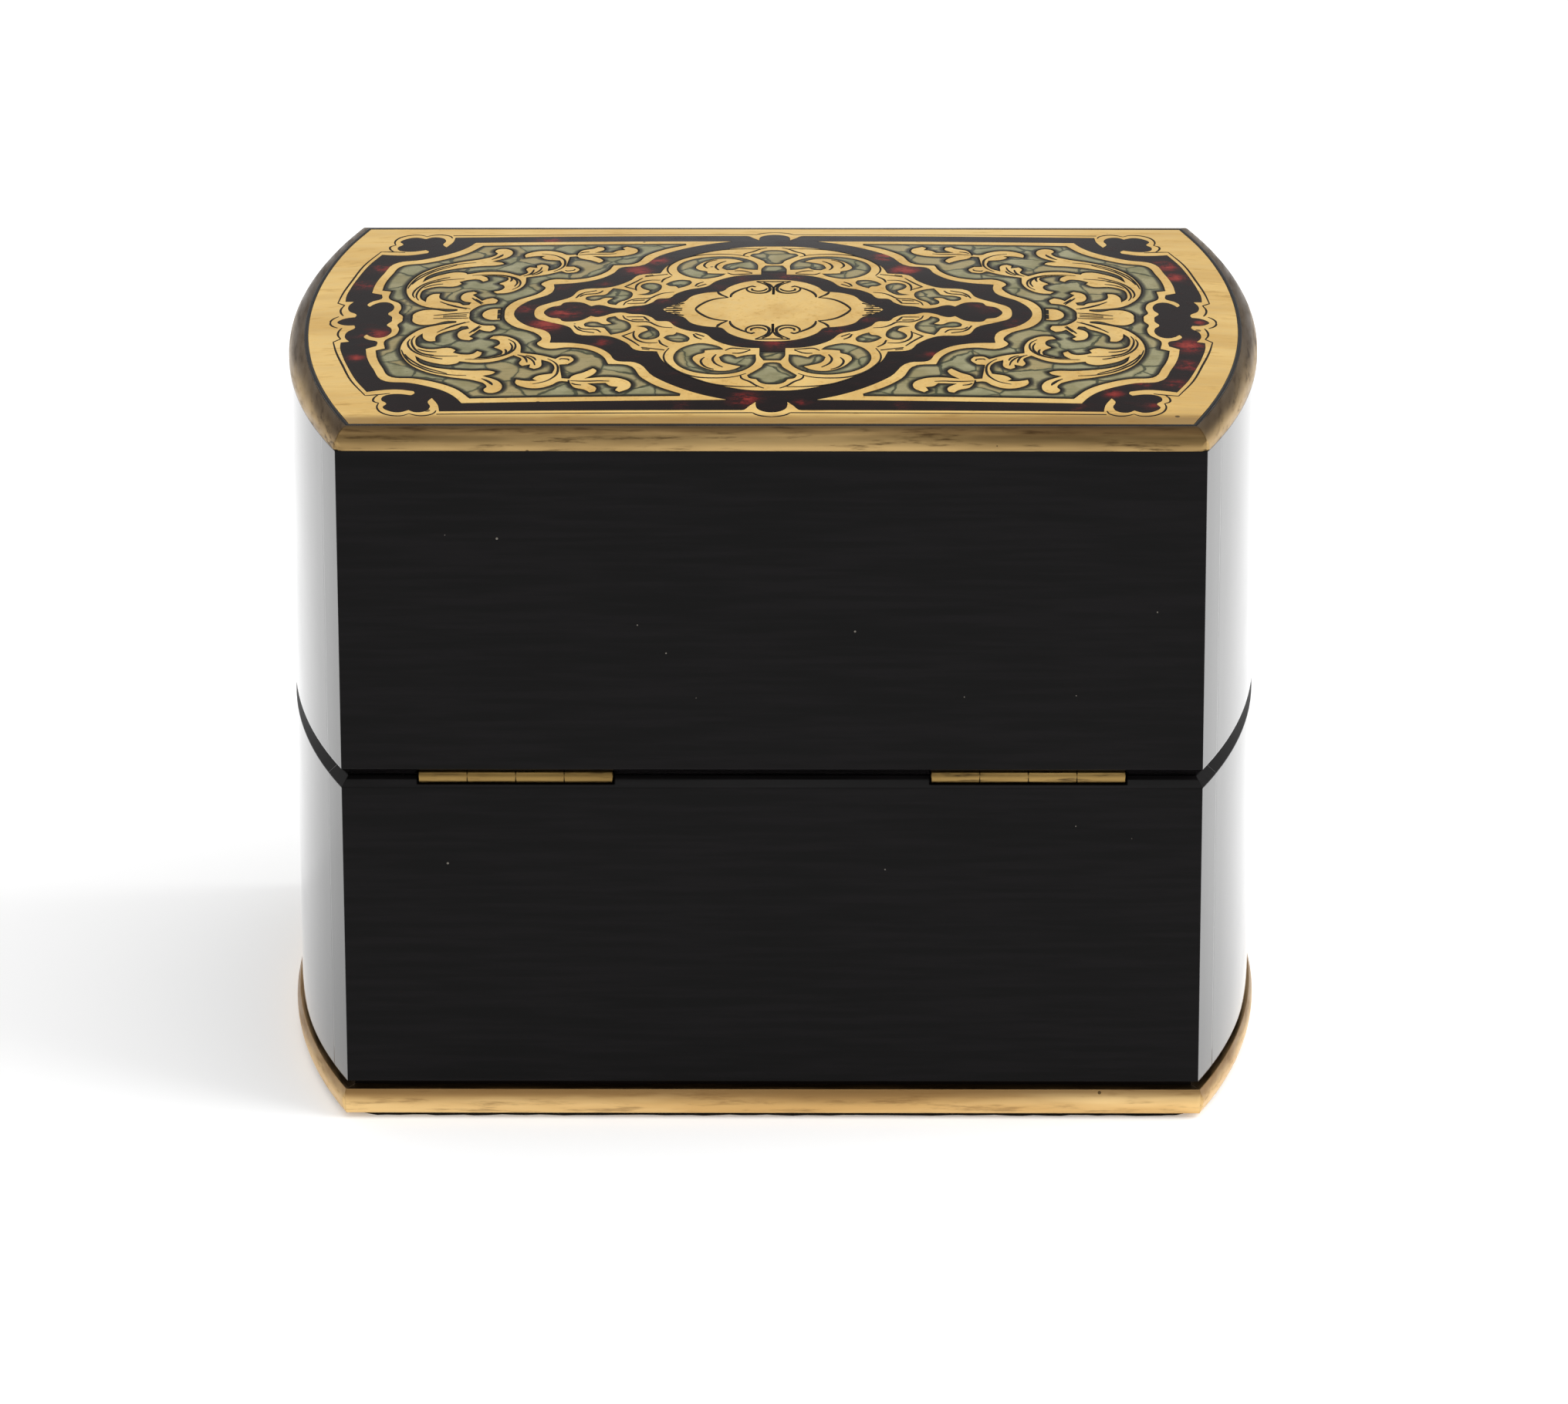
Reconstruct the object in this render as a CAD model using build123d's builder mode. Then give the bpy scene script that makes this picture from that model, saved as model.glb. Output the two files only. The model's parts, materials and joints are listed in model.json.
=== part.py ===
"""A perfume box with bowed ends, a deep hinged lid and a domed top in sawn marquetry.

Millimetres. The origin is on the floor under the middle of the box, +Z is up and
the front, with the lock, faces -Y. The two hinges are in the back, at +Y.
"""

from build123d import *
from math import asin, atan, degrees, sqrt
import os

os.makedirs("parts", exist_ok=True)

# Outside of the box
corner_span = 133.0        # from corner to corner along the front
end_bow = 9.0              # how far each end swells past the corners
depth = 88.0
height = 116.0             # floor to the rim of the top
top_rise = 2.7             # swell of the top above its rim
seam_height = 58.0         # where the lid parts from the base
seam_gap = 0.2             # air between lid and base when shut
seam_bevel = 1.5           # bevel on both sides of the seam
wall = 6.0                 # front and back boards
end_wall = 6.0             # end blocks, measured at the corners

# Underside and mouldings
felt_thickness = 0.9
felt_inset = 3.5
bottom_board = 5.0
plinth_height = 4.1        # brass moulding round the foot
plinth_projection = 0.9
plinth_depth = 2.5
plinth_shadow = 1.2        # black groove above the foot moulding
rim_width = 2.45           # quarter-round brass round the top
rim_height = 3.2
corner_round = 1.6         # softened outside corners of the mouldings
stringing_width = 0.55     # black line between rim and marquetry

# Top board and marquetry
sheet_thickness = 0.8      # brass, shell and horn, all sawn from one thickness
plug_depth = 3.3           # the top board's tongue between the lid walls
lining_thickness = 1.5

# Fittings inside the base
liner_thickness = 2.5
liner_lip = 3.0            # how far the liner stands above the seam
lip_clearance = 0.3
pad_thickness = 1.5
divider_thickness = 1.6
deck_thickness = 3.0
deck_top = 54.0            # height of the tray that steadies the bottles
rail_section = 3.0

# Three bottles in a row
bottle_count = 3
bottle_pitch = 37.0
bottle_width = 29.0
bottle_corner = 5.5        # cut corners
bottle_body = 50.0
bottle_shoulder = 6.0
bottle_neck = 6.0
bottle_wall = 2.6
bottle_base = 4.0
neck_radius = 6.2
neck_bore = 3.4
lip_radius = 8.0
lip_thickness = 1.8
bottle_fit = 0.4           # play of a bottle in its hole
stopper_play = 0.04        # ground fit of the plug in the neck
stopper_seat = 0.05
stopper_plug = 9.0
stopper_foot = 5.0         # radius of the collar
stopper_collar = 1.5
stopper_waist = 4.0
stopper_head = 8.6
stopper_top = 4.2
stopper_belt = 2.5
stopper_height = 17.5      # collar to top

# Butt hinges
hinge_length = 30.0
hinge_spacing = 79.2       # centre to centre
knuckle_count = 4
knuckle_radius = 1.15
knuckle_gap = 0.12
knuckle_clearance = 0.25
pin_radius = 0.55
pin_play = 0.05
leaf_thickness = 0.9
leaf_width = 4.4
hinge_inset = 1.2          # barrel axis in from the back
hinge_screw_spacing = 18.0
hinge_screw_inset = 1.8    # screw line in from the leaf's inner edge

# Lock in the front
lock_width = 30.0
lock_height = 18.0
lock_thickness = 4.4
lock_plate = 0.8           # top plate and ends of the case
lock_cheek = 0.5           # front and back plates of the case
lock_selvedge = 35.0       # length of the plate let into the top edge
lock_screw_spacing = 32.0
bolt_length = 7.5
bolt_height = 4.8
bolt_play = 0.25
bolt_throw = 3.6
nose_thickness = 0.9
nose_height = 2.0
nose_spare = 0.4           # nose left over past the throw
staple_length = 3.0        # loop on the lid, along the bolt's travel
staple_width = 2.4
staple_drop = 5.2
staple_bar = 1.2
staple_leg = 0.5
staple_play = 0.4
catch_plate = 1.0
catch_length = 24.0
catch_screw_spacing = 19.0
keyhole_drop = 10.0        # below the seam
keyhole_radius = 1.5
keyhole_slot = 3.4
keyhole_slot_width = 1.3
keyhole_wall = 0.4
key_chamber = 4.2
key_pin_radius = 0.6

# Wood screws
screw_head_radius = 1.1
screw_shank_radius = 0.6
screw_length = 4.5

# Levels and lines that follow
end_radius = ((depth / 2) ** 2 + end_bow**2) / (2 * end_bow)
arc_centre = corner_span / 2 + end_bow - end_radius
end_angle = degrees(asin(depth / 2 / end_radius))
body_bottom = felt_thickness
plinth_top = body_bottom + plinth_height
floor_level = body_bottom + bottom_board
pad_top = floor_level + pad_thickness
lid_bottom = seam_height + seam_gap
rim_bottom = height - rim_height
lid_ceiling = rim_bottom - plug_depth
inner_half = corner_span / 2 - end_wall
cavity = depth - 2 * wall
liner_top = seam_height + liner_lip
hinge_y = depth / 2 - hinge_inset
hinge_z = seam_height + seam_gap / 2
sheet_inset = rim_width + stringing_width
lock_y = -(depth / 2 - wall + lock_thickness / 2)
lock_face = lock_y - lock_thickness / 2
keyhole_level = seam_height - keyhole_drop
hinge_screw_y = hinge_y - leaf_width + hinge_screw_inset
hinge_places = [(side * hinge_spacing / 2, hinge_y, hinge_z) for side in (-1, 1)]


def bowed_outline(inset, level, rounding=0.0):
    """The plan of the box: straight front and back, ends bowed to one arc."""
    half_depth = depth / 2 - inset
    radius = end_radius - inset
    corner = arc_centre + sqrt(radius**2 - half_depth**2)
    middle = arc_centre + radius
    with BuildSketch(Plane.XY.offset(level)) as plan:
        with BuildLine():
            Line((-corner, -half_depth), (corner, -half_depth))
            ThreePointArc((corner, -half_depth), (middle, 0), (corner, half_depth))
            Line((corner, half_depth), (-corner, half_depth))
            ThreePointArc((-corner, half_depth), (-middle, 0), (-corner, -half_depth))
        make_face()
        if rounding:
            fillet(plan.vertices(), rounding)
    return plan.sketch


def bowed_ring(outer_inset, inner_inset, level):
    """A band that follows the plan between two insets."""
    return bowed_outline(outer_inset, level) - bowed_outline(inner_inset, level)


def keep_long_side(side, low, high):
    """Keep only the board along the front (side -1) or the back (side 1)."""
    with Locations((0, side * (depth - wall) / 2, (low + high) / 2)):
        Box(corner_span + 2 * end_bow, wall, high - low, mode=Mode.INTERSECT)


def keep_end(side, low, high):
    """Keep only the block at one end: bowed outside, flat inside."""
    reach = end_wall + end_bow
    with Locations((side * (inner_half + reach / 2), 0, (low + high) / 2)):
        Box(reach, cavity, high - low, mode=Mode.INTERSECT)


def outer_edges(part, group):
    """The edges at the seam that lie on the outside of the box."""
    seam_edges = part.edges().group_by(Axis.Z)[group]
    return seam_edges.filter_by(
        lambda e: abs(e.center().Y) > depth / 2 - wall / 2 - 0.5
        or (e.geom_type == GeomType.CIRCLE)
    )


def cut_plinth_rebate():
    """The rebate that takes the foot moulding, with the black groove above it."""
    seat = plinth_depth - plinth_projection
    extrude(
        bowed_ring(-1, seat, body_bottom - 1),
        amount=plinth_height + plinth_shadow + 1,
        mode=Mode.SUBTRACT,
    )


def cut_hinge_seats(leaf_low):
    """Seats for the leaves, and the groove that clears the barrels."""
    for x, y, z in hinge_places:
        with Locations((x, y - leaf_width / 2, leaf_low + leaf_thickness / 2)):
            Box(hinge_length, leaf_width, leaf_thickness, mode=Mode.SUBTRACT)
        with Locations(Location((x, y, z), (0, 90, 0))):
            Cylinder(
                knuckle_radius + knuckle_clearance,
                hinge_length + 2 * knuckle_clearance,
                mode=Mode.SUBTRACT,
            )


def keyhole(grow):
    """The keyhole on the upright plane through the origin, grown on all sides."""
    with BuildSketch(Plane.XZ) as outline:
        with Locations((0, keyhole_level)):
            Circle(keyhole_radius + grow)
        with Locations((0, keyhole_level - keyhole_slot / 2)):
            Rectangle(keyhole_slot_width + 2 * grow, keyhole_slot + 2 * grow)
    return outline.sketch


def screw_holes(x, y, level, spacing):
    """Two pilot holes for screws that go down from a level."""
    with Locations((x, y, level)):
        with GridLocations(spacing, 0, 2, 1):
            Hole(screw_shank_radius, screw_length)


# Base carcass: two boards and two end blocks round a bottom board
with BuildPart() as base_front_wall:
    extrude(bowed_outline(0, body_bottom), amount=seam_height - body_bottom)
    keep_long_side(-1, body_bottom, seam_height)
    chamfer(outer_edges(base_front_wall, -1), seam_bevel)
    cut_plinth_rebate()
    with Locations((0, lock_y, seam_height - lock_height / 2)):
        Box(lock_width, lock_thickness, lock_height, mode=Mode.SUBTRACT)
    with Locations((0, lock_y, seam_height - lock_plate / 2)):
        Box(lock_selvedge, lock_thickness, lock_plate, mode=Mode.SUBTRACT)
    screw_holes(0, lock_y, seam_height - lock_plate, lock_screw_spacing)
    extrude(keyhole(keyhole_wall), amount=depth, mode=Mode.SUBTRACT)

with BuildPart() as keyhole_lining:
    extrude(keyhole(keyhole_wall) - keyhole(0), amount=depth / 2)
    with Locations((0, (lock_face - depth / 2) / 2, keyhole_level)):
        Box(lock_width, depth / 2 + lock_face, lock_height, mode=Mode.INTERSECT)

with BuildPart() as base_back_wall:
    extrude(bowed_outline(0, body_bottom), amount=seam_height - body_bottom)
    keep_long_side(1, body_bottom, seam_height)
    chamfer(outer_edges(base_back_wall, -1), seam_bevel)
    cut_plinth_rebate()
    cut_hinge_seats(seam_height - leaf_thickness)
    for x, y, z in hinge_places:
        screw_holes(x, hinge_screw_y, seam_height - leaf_thickness, hinge_screw_spacing)

base_ends = {}
for end_name, side in (("left", -1), ("right", 1)):
    with BuildPart() as base_end:
        extrude(bowed_outline(0, body_bottom), amount=seam_height - body_bottom)
        keep_end(side, body_bottom, seam_height)
        chamfer(outer_edges(base_end, -1), seam_bevel)
        cut_plinth_rebate()
    base_ends[end_name] = base_end.part

with BuildPart() as base_bottom_board:
    with Locations((0, 0, body_bottom + bottom_board / 2)):
        Box(2 * inner_half, cavity, bottom_board)

with BuildPart() as base_felt:
    extrude(bowed_outline(felt_inset, 0), amount=felt_thickness)

for part, name in (
    (base_front_wall.part, "base_front_wall"),
    (keyhole_lining.part, "keyhole_lining"),
    (base_back_wall.part, "base_back_wall"),
    (base_ends["left"], "base_left_end"),
    (base_ends["right"], "base_right_end"),
    (base_bottom_board.part, "base_bottom_board"),
    (base_felt.part, "base_felt"),
):
    part.label = name
    export_step(part, f"parts/{name}.step")


# Brass mouldings, mitred at the four corners
def mitre_plane(side_x, side_y, outer_inset, inner_inset):
    """The upright plane through a corner, on the line between two insets."""
    points = []
    for inset in (outer_inset, inner_inset):
        radius = end_radius - inset
        half_depth = depth / 2 - inset
        points.append(Vector(arc_centre + sqrt(radius**2 - half_depth**2), half_depth))
    run = points[0] - points[1]
    return Plane(
        origin=(side_x * points[0].X, side_y * points[0].Y, 0),
        x_dir=(side_x * run.X, side_y * run.Y, 0),
        z_dir=(-side_x * run.Y, side_y * run.X, 0),
    )


def plinth_profile():
    """Foot moulding: flat back, rounded nose, as a section in X and Z."""
    with BuildSketch(Plane.XZ) as section:
        with BuildLine():
            front = plinth_projection
            back = plinth_projection - plinth_depth
            nose = plinth_height / 2
            Line((back, body_bottom), (front - 0.5, body_bottom))
            ThreePointArc(
                (front - 0.5, body_bottom),
                (front, body_bottom + nose),
                (front - 0.5, plinth_top),
            )
            Polyline((front - 0.5, plinth_top), (back, plinth_top), (back, body_bottom))
        make_face()
    return section.sketch


def rim_profile():
    """Top moulding: a quarter round from the wall up to the marquetry."""
    with BuildSketch(Plane.XZ) as section:
        with BuildLine():
            Line((-rim_width, rim_bottom), (0, rim_bottom))
            Line((0, rim_bottom), (0, rim_bottom + 0.5))
            ThreePointArc(
                (0, rim_bottom + 0.5),
                (-rim_width * 0.29, height - 0.83),
                (-rim_width, height),
            )
            Line((-rim_width, height), (-rim_width, rim_bottom))
        make_face()
    return section.sketch


def moulding(name, section, outer_inset, inner_inset):
    """Four mitred lengths of one section round the box."""
    half_depth = depth / 2
    for side_name, side in (("front", -1), ("back", 1)):
        with BuildPart() as length:
            turned = section.rotate(Axis.Z, 90 * side)
            placed = turned.translate((0, side * half_depth, 0))
            extrude(placed, amount=corner_span / 2 + end_bow, both=True, dir=(1, 0, 0))
            for side_x in (-1, 1):
                plane = mitre_plane(side_x, side, outer_inset, inner_inset)
                middle = plane.to_local_coords(Vector(0, side * half_depth, 0))
                split(bisect_by=plane, keep=Keep.TOP if middle.Z > 0 else Keep.BOTTOM)
            extrude(bowed_outline(outer_inset, 0, corner_round), amount=height, mode=Mode.INTERSECT)
        length.part.label = f"{name}_{side_name}"
        export_step(length.part, f"parts/{name}_{side_name}.step")
    for side_name, side in (("left", -1), ("right", 1)):
        with BuildPart() as length:
            placed = section.translate((corner_span / 2 + end_bow, 0, 0))
            swing = Axis((arc_centre, 0, 0), (0, 0, 1))
            start = placed.rotate(swing, -end_angle - 4)
            revolve(start, axis=swing, revolution_arc=2 * (end_angle + 4))
            if side < 0:
                mirror(about=Plane.YZ, mode=Mode.REPLACE)
            for side_y in (-1, 1):
                plane = mitre_plane(side, side_y, outer_inset, inner_inset)
                middle = plane.to_local_coords(Vector(side * (corner_span / 2 + end_bow), 0, 0))
                split(bisect_by=plane, keep=Keep.TOP if middle.Z > 0 else Keep.BOTTOM)
            extrude(bowed_outline(outer_inset, 0, corner_round), amount=height, mode=Mode.INTERSECT)
        length.part.label = f"{name}_{side_name}"
        export_step(length.part, f"parts/{name}_{side_name}.step")


moulding("foot_moulding", plinth_profile(), -plinth_projection, plinth_depth - plinth_projection)
moulding("rim_moulding", rim_profile(), 0, rim_width)

# Lid carcass
with BuildPart() as lid_front_wall:
    extrude(bowed_outline(0, lid_bottom), amount=rim_bottom - lid_bottom)
    keep_long_side(-1, lid_bottom, rim_bottom)
    chamfer(outer_edges(lid_front_wall, 0), seam_bevel)
    with Locations((0, lock_y, lid_bottom + catch_plate / 2)):
        Box(catch_length, lock_thickness, catch_plate, mode=Mode.SUBTRACT)
    screw_holes(0, lock_y, lid_bottom + catch_plate + screw_length, catch_screw_spacing)

with BuildPart() as lid_back_wall:
    extrude(bowed_outline(0, lid_bottom), amount=rim_bottom - lid_bottom)
    keep_long_side(1, lid_bottom, rim_bottom)
    chamfer(outer_edges(lid_back_wall, 0), seam_bevel)
    cut_hinge_seats(lid_bottom)
    for x, y, z in hinge_places:
        pilot_top = lid_bottom + leaf_thickness + screw_length
        screw_holes(x, hinge_screw_y, pilot_top, hinge_screw_spacing)

lid_ends = {}
for end_name, side in (("left", -1), ("right", 1)):
    with BuildPart() as lid_end:
        extrude(bowed_outline(0, lid_bottom), amount=rim_bottom - lid_bottom)
        keep_end(side, lid_bottom, rim_bottom)
        chamfer(outer_edges(lid_end, 0), seam_bevel)
    lid_ends[end_name] = lid_end.part


# The swell of the top, a surface that meets the rim level all round
def pillow(drop):
    """The domed surface of the top, lowered by drop."""
    half_x = corner_span / 2 + end_bow - rim_width
    half_y = depth / 2 - rim_width
    rim = height - drop
    crown = rim + 4 * top_rise
    return Face.make_bezier_surface(
        [
            [(-half_x, -half_y, rim), (-half_x, 0, rim), (-half_x, half_y, rim)],
            [(0, -half_y, rim), (0, 0, crown), (0, half_y, rim)],
            [(half_x, -half_y, rim), (half_x, 0, rim), (half_x, half_y, rim)],
        ]
    )


with BuildPart() as lid_top_board:
    extrude(pillow(sheet_thickness), amount=2 * rim_height, dir=(0, 0, -1))
    extrude(bowed_outline(rim_width, rim_bottom), amount=2 * rim_height, mode=Mode.INTERSECT)
    with Locations((0, 0, rim_bottom - plug_depth / 2)):
        Box(2 * inner_half, cavity, plug_depth)

with BuildPart() as lid_lining:
    with Locations((0, 0, lid_ceiling - lining_thickness / 2)):
        Box(2 * (inner_half - lip_clearance), cavity - 2 * lip_clearance, lining_thickness)

for part, name in (
    (lid_front_wall.part, "lid_front_wall"),
    (lid_back_wall.part, "lid_back_wall"),
    (lid_ends["left"], "lid_left_end"),
    (lid_ends["right"], "lid_right_end"),
    (lid_top_board.part, "lid_top_board"),
    (lid_lining.part, "lid_lining"),
):
    part.label = name
    export_step(part, f"parts/{name}.step")


# Marquetry: outlines of one quarter, read outwards from the middle of the top, in mm on a box
# of 133 by 88 mm, and stretched with it. They are sawn as short straight cuts.
span_scale = corner_span / 133
depth_scale = depth / 88


def drawn(points):
    """The points of an outline on this box."""
    return [(x * span_scale, y * depth_scale) for x, y in points]


def four_ways(points):
    """A region about the middle, from the outline of its first quarter."""
    with BuildSketch() as region:
        with BuildLine():
            Polyline(*drawn(points), (0, 0), close=True)
        make_face()
        mirror(about=Plane.YZ)
        mirror(about=Plane.XZ)
    return region.sketch


def two_ways(points):
    """A region on the right half, mirrored front to back about the long axis."""
    with BuildSketch() as region:
        with BuildLine():
            Polyline(*drawn(points), close=True)
        make_face()
        mirror(about=Plane.XZ)
    return region.sketch


def loop(points):
    """One closed piece of one quarter."""
    with BuildSketch() as region:
        with BuildLine():
            Polyline(*drawn(points), close=True)
        make_face()
    return region.sketch


frame_edge = four_ways([
    (0, 37.4), (1.2, 37.1), (2.1, 36.3), (2.4, 35.2), (2.4, 34), (3.3, 35.2), (4.6, 36.7), (50.8, 36.6),
    (51.1, 34.3), (52.1, 31.7), (52.7, 33), (52.3, 35), (53, 36.5), (54.5, 36.8), (55.5, 36),
    (57, 36.8), (58.7, 36.1), (59.5, 34.8), (59, 33.5), (59.8, 32.2), (59.6, 30.8), (58.6, 30.1),
    (57.4, 30), (55.3, 30.6), (54.8, 29.8), (55, 29.1), (57.5, 28.3), (60, 28.4), (62.2, 28.9),
    (64, 24.4), (65.4, 19.4), (66.5, 14.5), (67.1, 10.4), (67.1, 8.6), (65.8, 8.4), (66.5, 6.7),
    (66.3, 4.4), (65.1, 2.6), (65.3, 1.7), (66.6, 1.5), (67.6, 0.8), (68, 0),
])

field_edge = four_ways([
    (0, 30.4), (3.2, 30.3), (6.6, 29.3), (10, 27.5), (13, 25.2), (15.4, 22.6), (17, 19.8), (17.9, 16.5),
    (21.2, 15.8), (22.6, 13.2), (25.5, 10.4), (30.4, 9.3), (31.7, 6.4), (35.1, 3.9), (36.7, 2.6),
    (37.3, 0),
])

ring_edge = four_ways([
    (0, 16.8), (1.95, 16.8), (1.95, 15.5), (4.4, 15.3), (7, 14.2), (9, 12.4), (10.5, 9.9), (13.4, 8.5),
    (15.2, 6.8), (16.3, 4.9), (18, 4.6), (18.8, 3.2), (20.2, 1.95), (22.3, 1.5), (23.4, 0.9),
    (25.3, 1.3), (26.5, 2.2), (27.4, 2.5), (28.4, 2), (30.1, 3.8), (31.4, 4.1), (32.7, 3.8),
    (33.2, 2.8), (34.6, 2.2), (35.4, 1.1), (35.7, 0),
])

cartouche_edge = four_ways([
    (0, 13), (2.3, 12.8), (4.7, 11.8), (6.8, 9.9), (8.4, 7.5), (9.2, 7.4), (11, 6.9), (12.6, 5.8),
    (14, 3.2), (15.3, 2.1), (16.6, 0.9), (17.2, 0),
])

panel_edge = two_ways([
    (59.5, 0), (59.5, 0.8), (60.2, 2.4), (59.5, 3.8), (59.6, 6.2), (60.3, 7.2), (61.3, 7.5),
    (62.4, 6.9), (63.2, 5.8), (63.6, 6.6), (62.9, 8), (61.5, 9), (61.5, 10.8), (63.1, 11.8), (62.8, 15),
    (61.6, 20), (59.5, 25), (55.9, 25.9), (53, 27.4), (50.4, 29.3), (48.7, 31.4), (47.5, 33.8),
    (6.8, 33.4), (10.6, 31.7), (14.6, 29), (18.2, 25.4), (21.3, 20.3), (24, 19.7), (25.2, 17),
    (27.4, 14.3), (30.6, 12.8), (34.5, 12.3), (34.4, 10.1), (34.8, 8.4), (38.4, 5), (39.8, 2.7),
    (40.4, 0),
])

ground_edge = two_ways([
    (57.8, 0), (57.8, 0.9), (58.5, 2.4), (58.2, 4.4), (58.6, 6.6), (60.2, 8.7), (60.1, 12),
    (61.5, 12.6), (61.2, 15.6), (60.2, 19.6), (58.6, 23.5), (55.2, 24.3), (51.8, 26), (48.6, 28.6),
    (46.3, 32.2), (14.1, 32.1), (14, 31.3), (17.2, 29.1), (20, 25.9), (22.3, 21.3), (25.3, 20.8),
    (26.2, 17.9), (29, 15), (31.5, 14.3), (34.9, 14.5), (36, 13.6), (36.5, 12.6), (35.8, 10.9),
    (36.4, 9), (40.6, 4.9), (41.7, 2.5), (41.9, 0),
])

acanthus = two_ways([
    (56.3, 0), (56.2, 1.6), (54.7, 3.1), (53.1, 3.1), (50.6, 2), (49.4, 2.2), (49.4, 2.8), (52.5, 3.6),
    (54.2, 4.4), (56.4, 7.1), (57.5, 10.2), (57.7, 13.2), (57.2, 15.8), (55.4, 19.8), (53.4, 22),
    (49.7, 24.2), (45.9, 25.7), (44.2, 27.1), (43.9, 28.2), (44.3, 29), (43.9, 30.1), (42.8, 30.4),
    (41.8, 29.7), (41.4, 28.2), (41.8, 26.6), (44.5, 24.1), (42.9, 23.4), (42.6, 22.8), (43.4, 22.3),
    (46.4, 22), (49.7, 21.3), (52.6, 20.1), (54.7, 17.9), (55.2, 15.7), (54, 17.3), (52, 18.8),
    (49.7, 19.5), (48.5, 18.9), (48.3, 18.4), (45.3, 19.2), (42.5, 18.7), (40, 16.8), (38.8, 18.2),
    (39.1, 20), (38.6, 20.9), (37.4, 20.4), (37.5, 21.5), (36.7, 22.1), (35.9, 21.6), (35.6, 18.8),
    (34.3, 19.8), (33.6, 21.6), (33.9, 23.8), (36.3, 24.7), (36.9, 25.6), (36.3, 26.3), (37.6, 26.3),
    (39.4, 25.7), (39.5, 27), (38.2, 28.5), (35.9, 29), (33.8, 27.9), (32.6, 26.7), (31.2, 26.9),
    (30.4, 28.9), (28.6, 29.9), (28, 30.7), (27.1, 30.4), (26.9, 29.3), (28.3, 27.6), (25.6, 27.5),
    (24.8, 28.6), (23.7, 28.9), (24.1, 30), (23.4, 30.7), (21.8, 29.3), (21.7, 27.6), (23.2, 26),
    (25.6, 25.4), (28.7, 25.8), (27.3, 24.2), (27, 23.1), (27.6, 22.2), (29, 23.6), (30.8, 24.9),
    (31.2, 25.8), (32.3, 25.6), (32.6, 22.6), (32.8, 20.7), (31.5, 20.6), (30.6, 19), (31.1, 17.8),
    (32.6, 17.6), (33.5, 18.5), (35.6, 17.1), (38.9, 15.9), (39.1, 12.6), (40.2, 10.3), (42, 9),
    (43.4, 9), (44, 9.9), (42.7, 10.6), (42.4, 12.4), (43.2, 13.4), (41.8, 15.2), (41.9, 16.3),
    (43.7, 17.3), (46, 17.5), (45.1, 16.4), (44.9, 15.2), (45.7, 14.6), (46.5, 15.7), (48, 15.7),
    (49.4, 14.9), (49, 14), (49.8, 13.1), (53.2, 13.1), (54.9, 12), (55.4, 10), (55.2, 8), (54.5, 6.8),
    (54.2, 8.9), (53.3, 10), (52.3, 10), (52.2, 7.8), (50.4, 6.1), (49.1, 5.4), (48.5, 4.5),
    (47.6, 4.5), (47.3, 5.5), (48.4, 6.1), (49, 8.3), (48.3, 9.8), (47, 10.3), (46.4, 9.6), (47.1, 8.8),
    (45.6, 6.1), (44.8, 6.8), (43.9, 7.1), (43.1, 6), (43.4, 4.7), (45.3, 4.3), (46.5, 3.1),
    (47.3, 1.4), (47.3, 0),
])

boss = two_ways([
    (45.4, 0), (45, 1.4), (44, 2.3), (42.5, 2.3), (42.5, 0),
])

bud = loop([
    (24.6, 2.4), (25.7, 3), (25.9, 3.9), (25, 5.4), (26.2, 5.6), (27.6, 4.5), (28.6, 4.5), (29.3, 5.2),
    (29.2, 6.2), (28.4, 6.6), (26.2, 7.1), (25.7, 8.3), (25.1, 9.8), (23.4, 9), (22.3, 7.9),
    (22.1, 6.3), (22.8, 4.6), (24, 3.6),
])

comma = loop([
    (21.2, 6.7), (19.6, 6.5), (18.3, 7.7), (17.6, 9.6), (17.8, 11.1), (18.9, 11.9), (20.2, 11.7),
    (20.8, 10.6), (20.5, 9.5), (19.3, 8.3), (19.7, 7.4),
])

drop = loop([
    (16.9, 11.3), (16.2, 10.4), (15.3, 10.2), (14.9, 9.4), (13.8, 10.2), (12.9, 12), (13.2, 12.9),
    (14.6, 13.2), (15.9, 12.6),
])

crescent = loop([
    (7.6, 16), (8.2, 15), (9.5, 14.1), (11.2, 13.6), (12.8, 14.2), (14.4, 15.8), (15.2, 18), (14.8, 21),
    (13.2, 23.2), (10.8, 24.5), (8, 24.9), (5.4, 24.2), (3.6, 22.6), (2.7, 20.8), (2.6, 17.9),
    (4, 18.1), (5.5, 18.9), (6.2, 18), (7.4, 17.8), (8.2, 18.8), (7.6, 20.6), (6, 21.6), (4.8, 22.1),
    (5.8, 23.1), (8, 23.7), (10.2, 22.8), (11.8, 20.8), (12.3, 18.8), (11.5, 17.7), (10.6, 17.2),
    (10.5, 16.3), (9.4, 16.1),
])

stem = loop([
    (0, 20), (1.3, 20), (1.9, 18.4), (1.95, 16.8), (0, 16.8),
])

bell = loop([
    (0, 28.3), (1.2, 28.1), (2, 27.4), (2.4, 26.6), (3.4, 26.2), (3.8, 25.2), (2.6, 23.7), (1.6, 22.3),
    (1.1, 21), (0, 20.7),
])


def mirrored_four(region):
    """The same piece in all four quarters."""
    across = region.mirror(Plane.YZ)
    return region + across + region.mirror(Plane.XZ) + across.mirror(Plane.XZ)


def inlay(region):
    """Saw one region out of the domed sheet."""
    extrude(pillow(0), amount=sheet_thickness, dir=(0, 0, -1))
    low = height - sheet_thickness - 1
    extrude(region.translate((0, 0, low)), amount=sheet_thickness + top_rise + 2, mode=Mode.INTERSECT)


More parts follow.
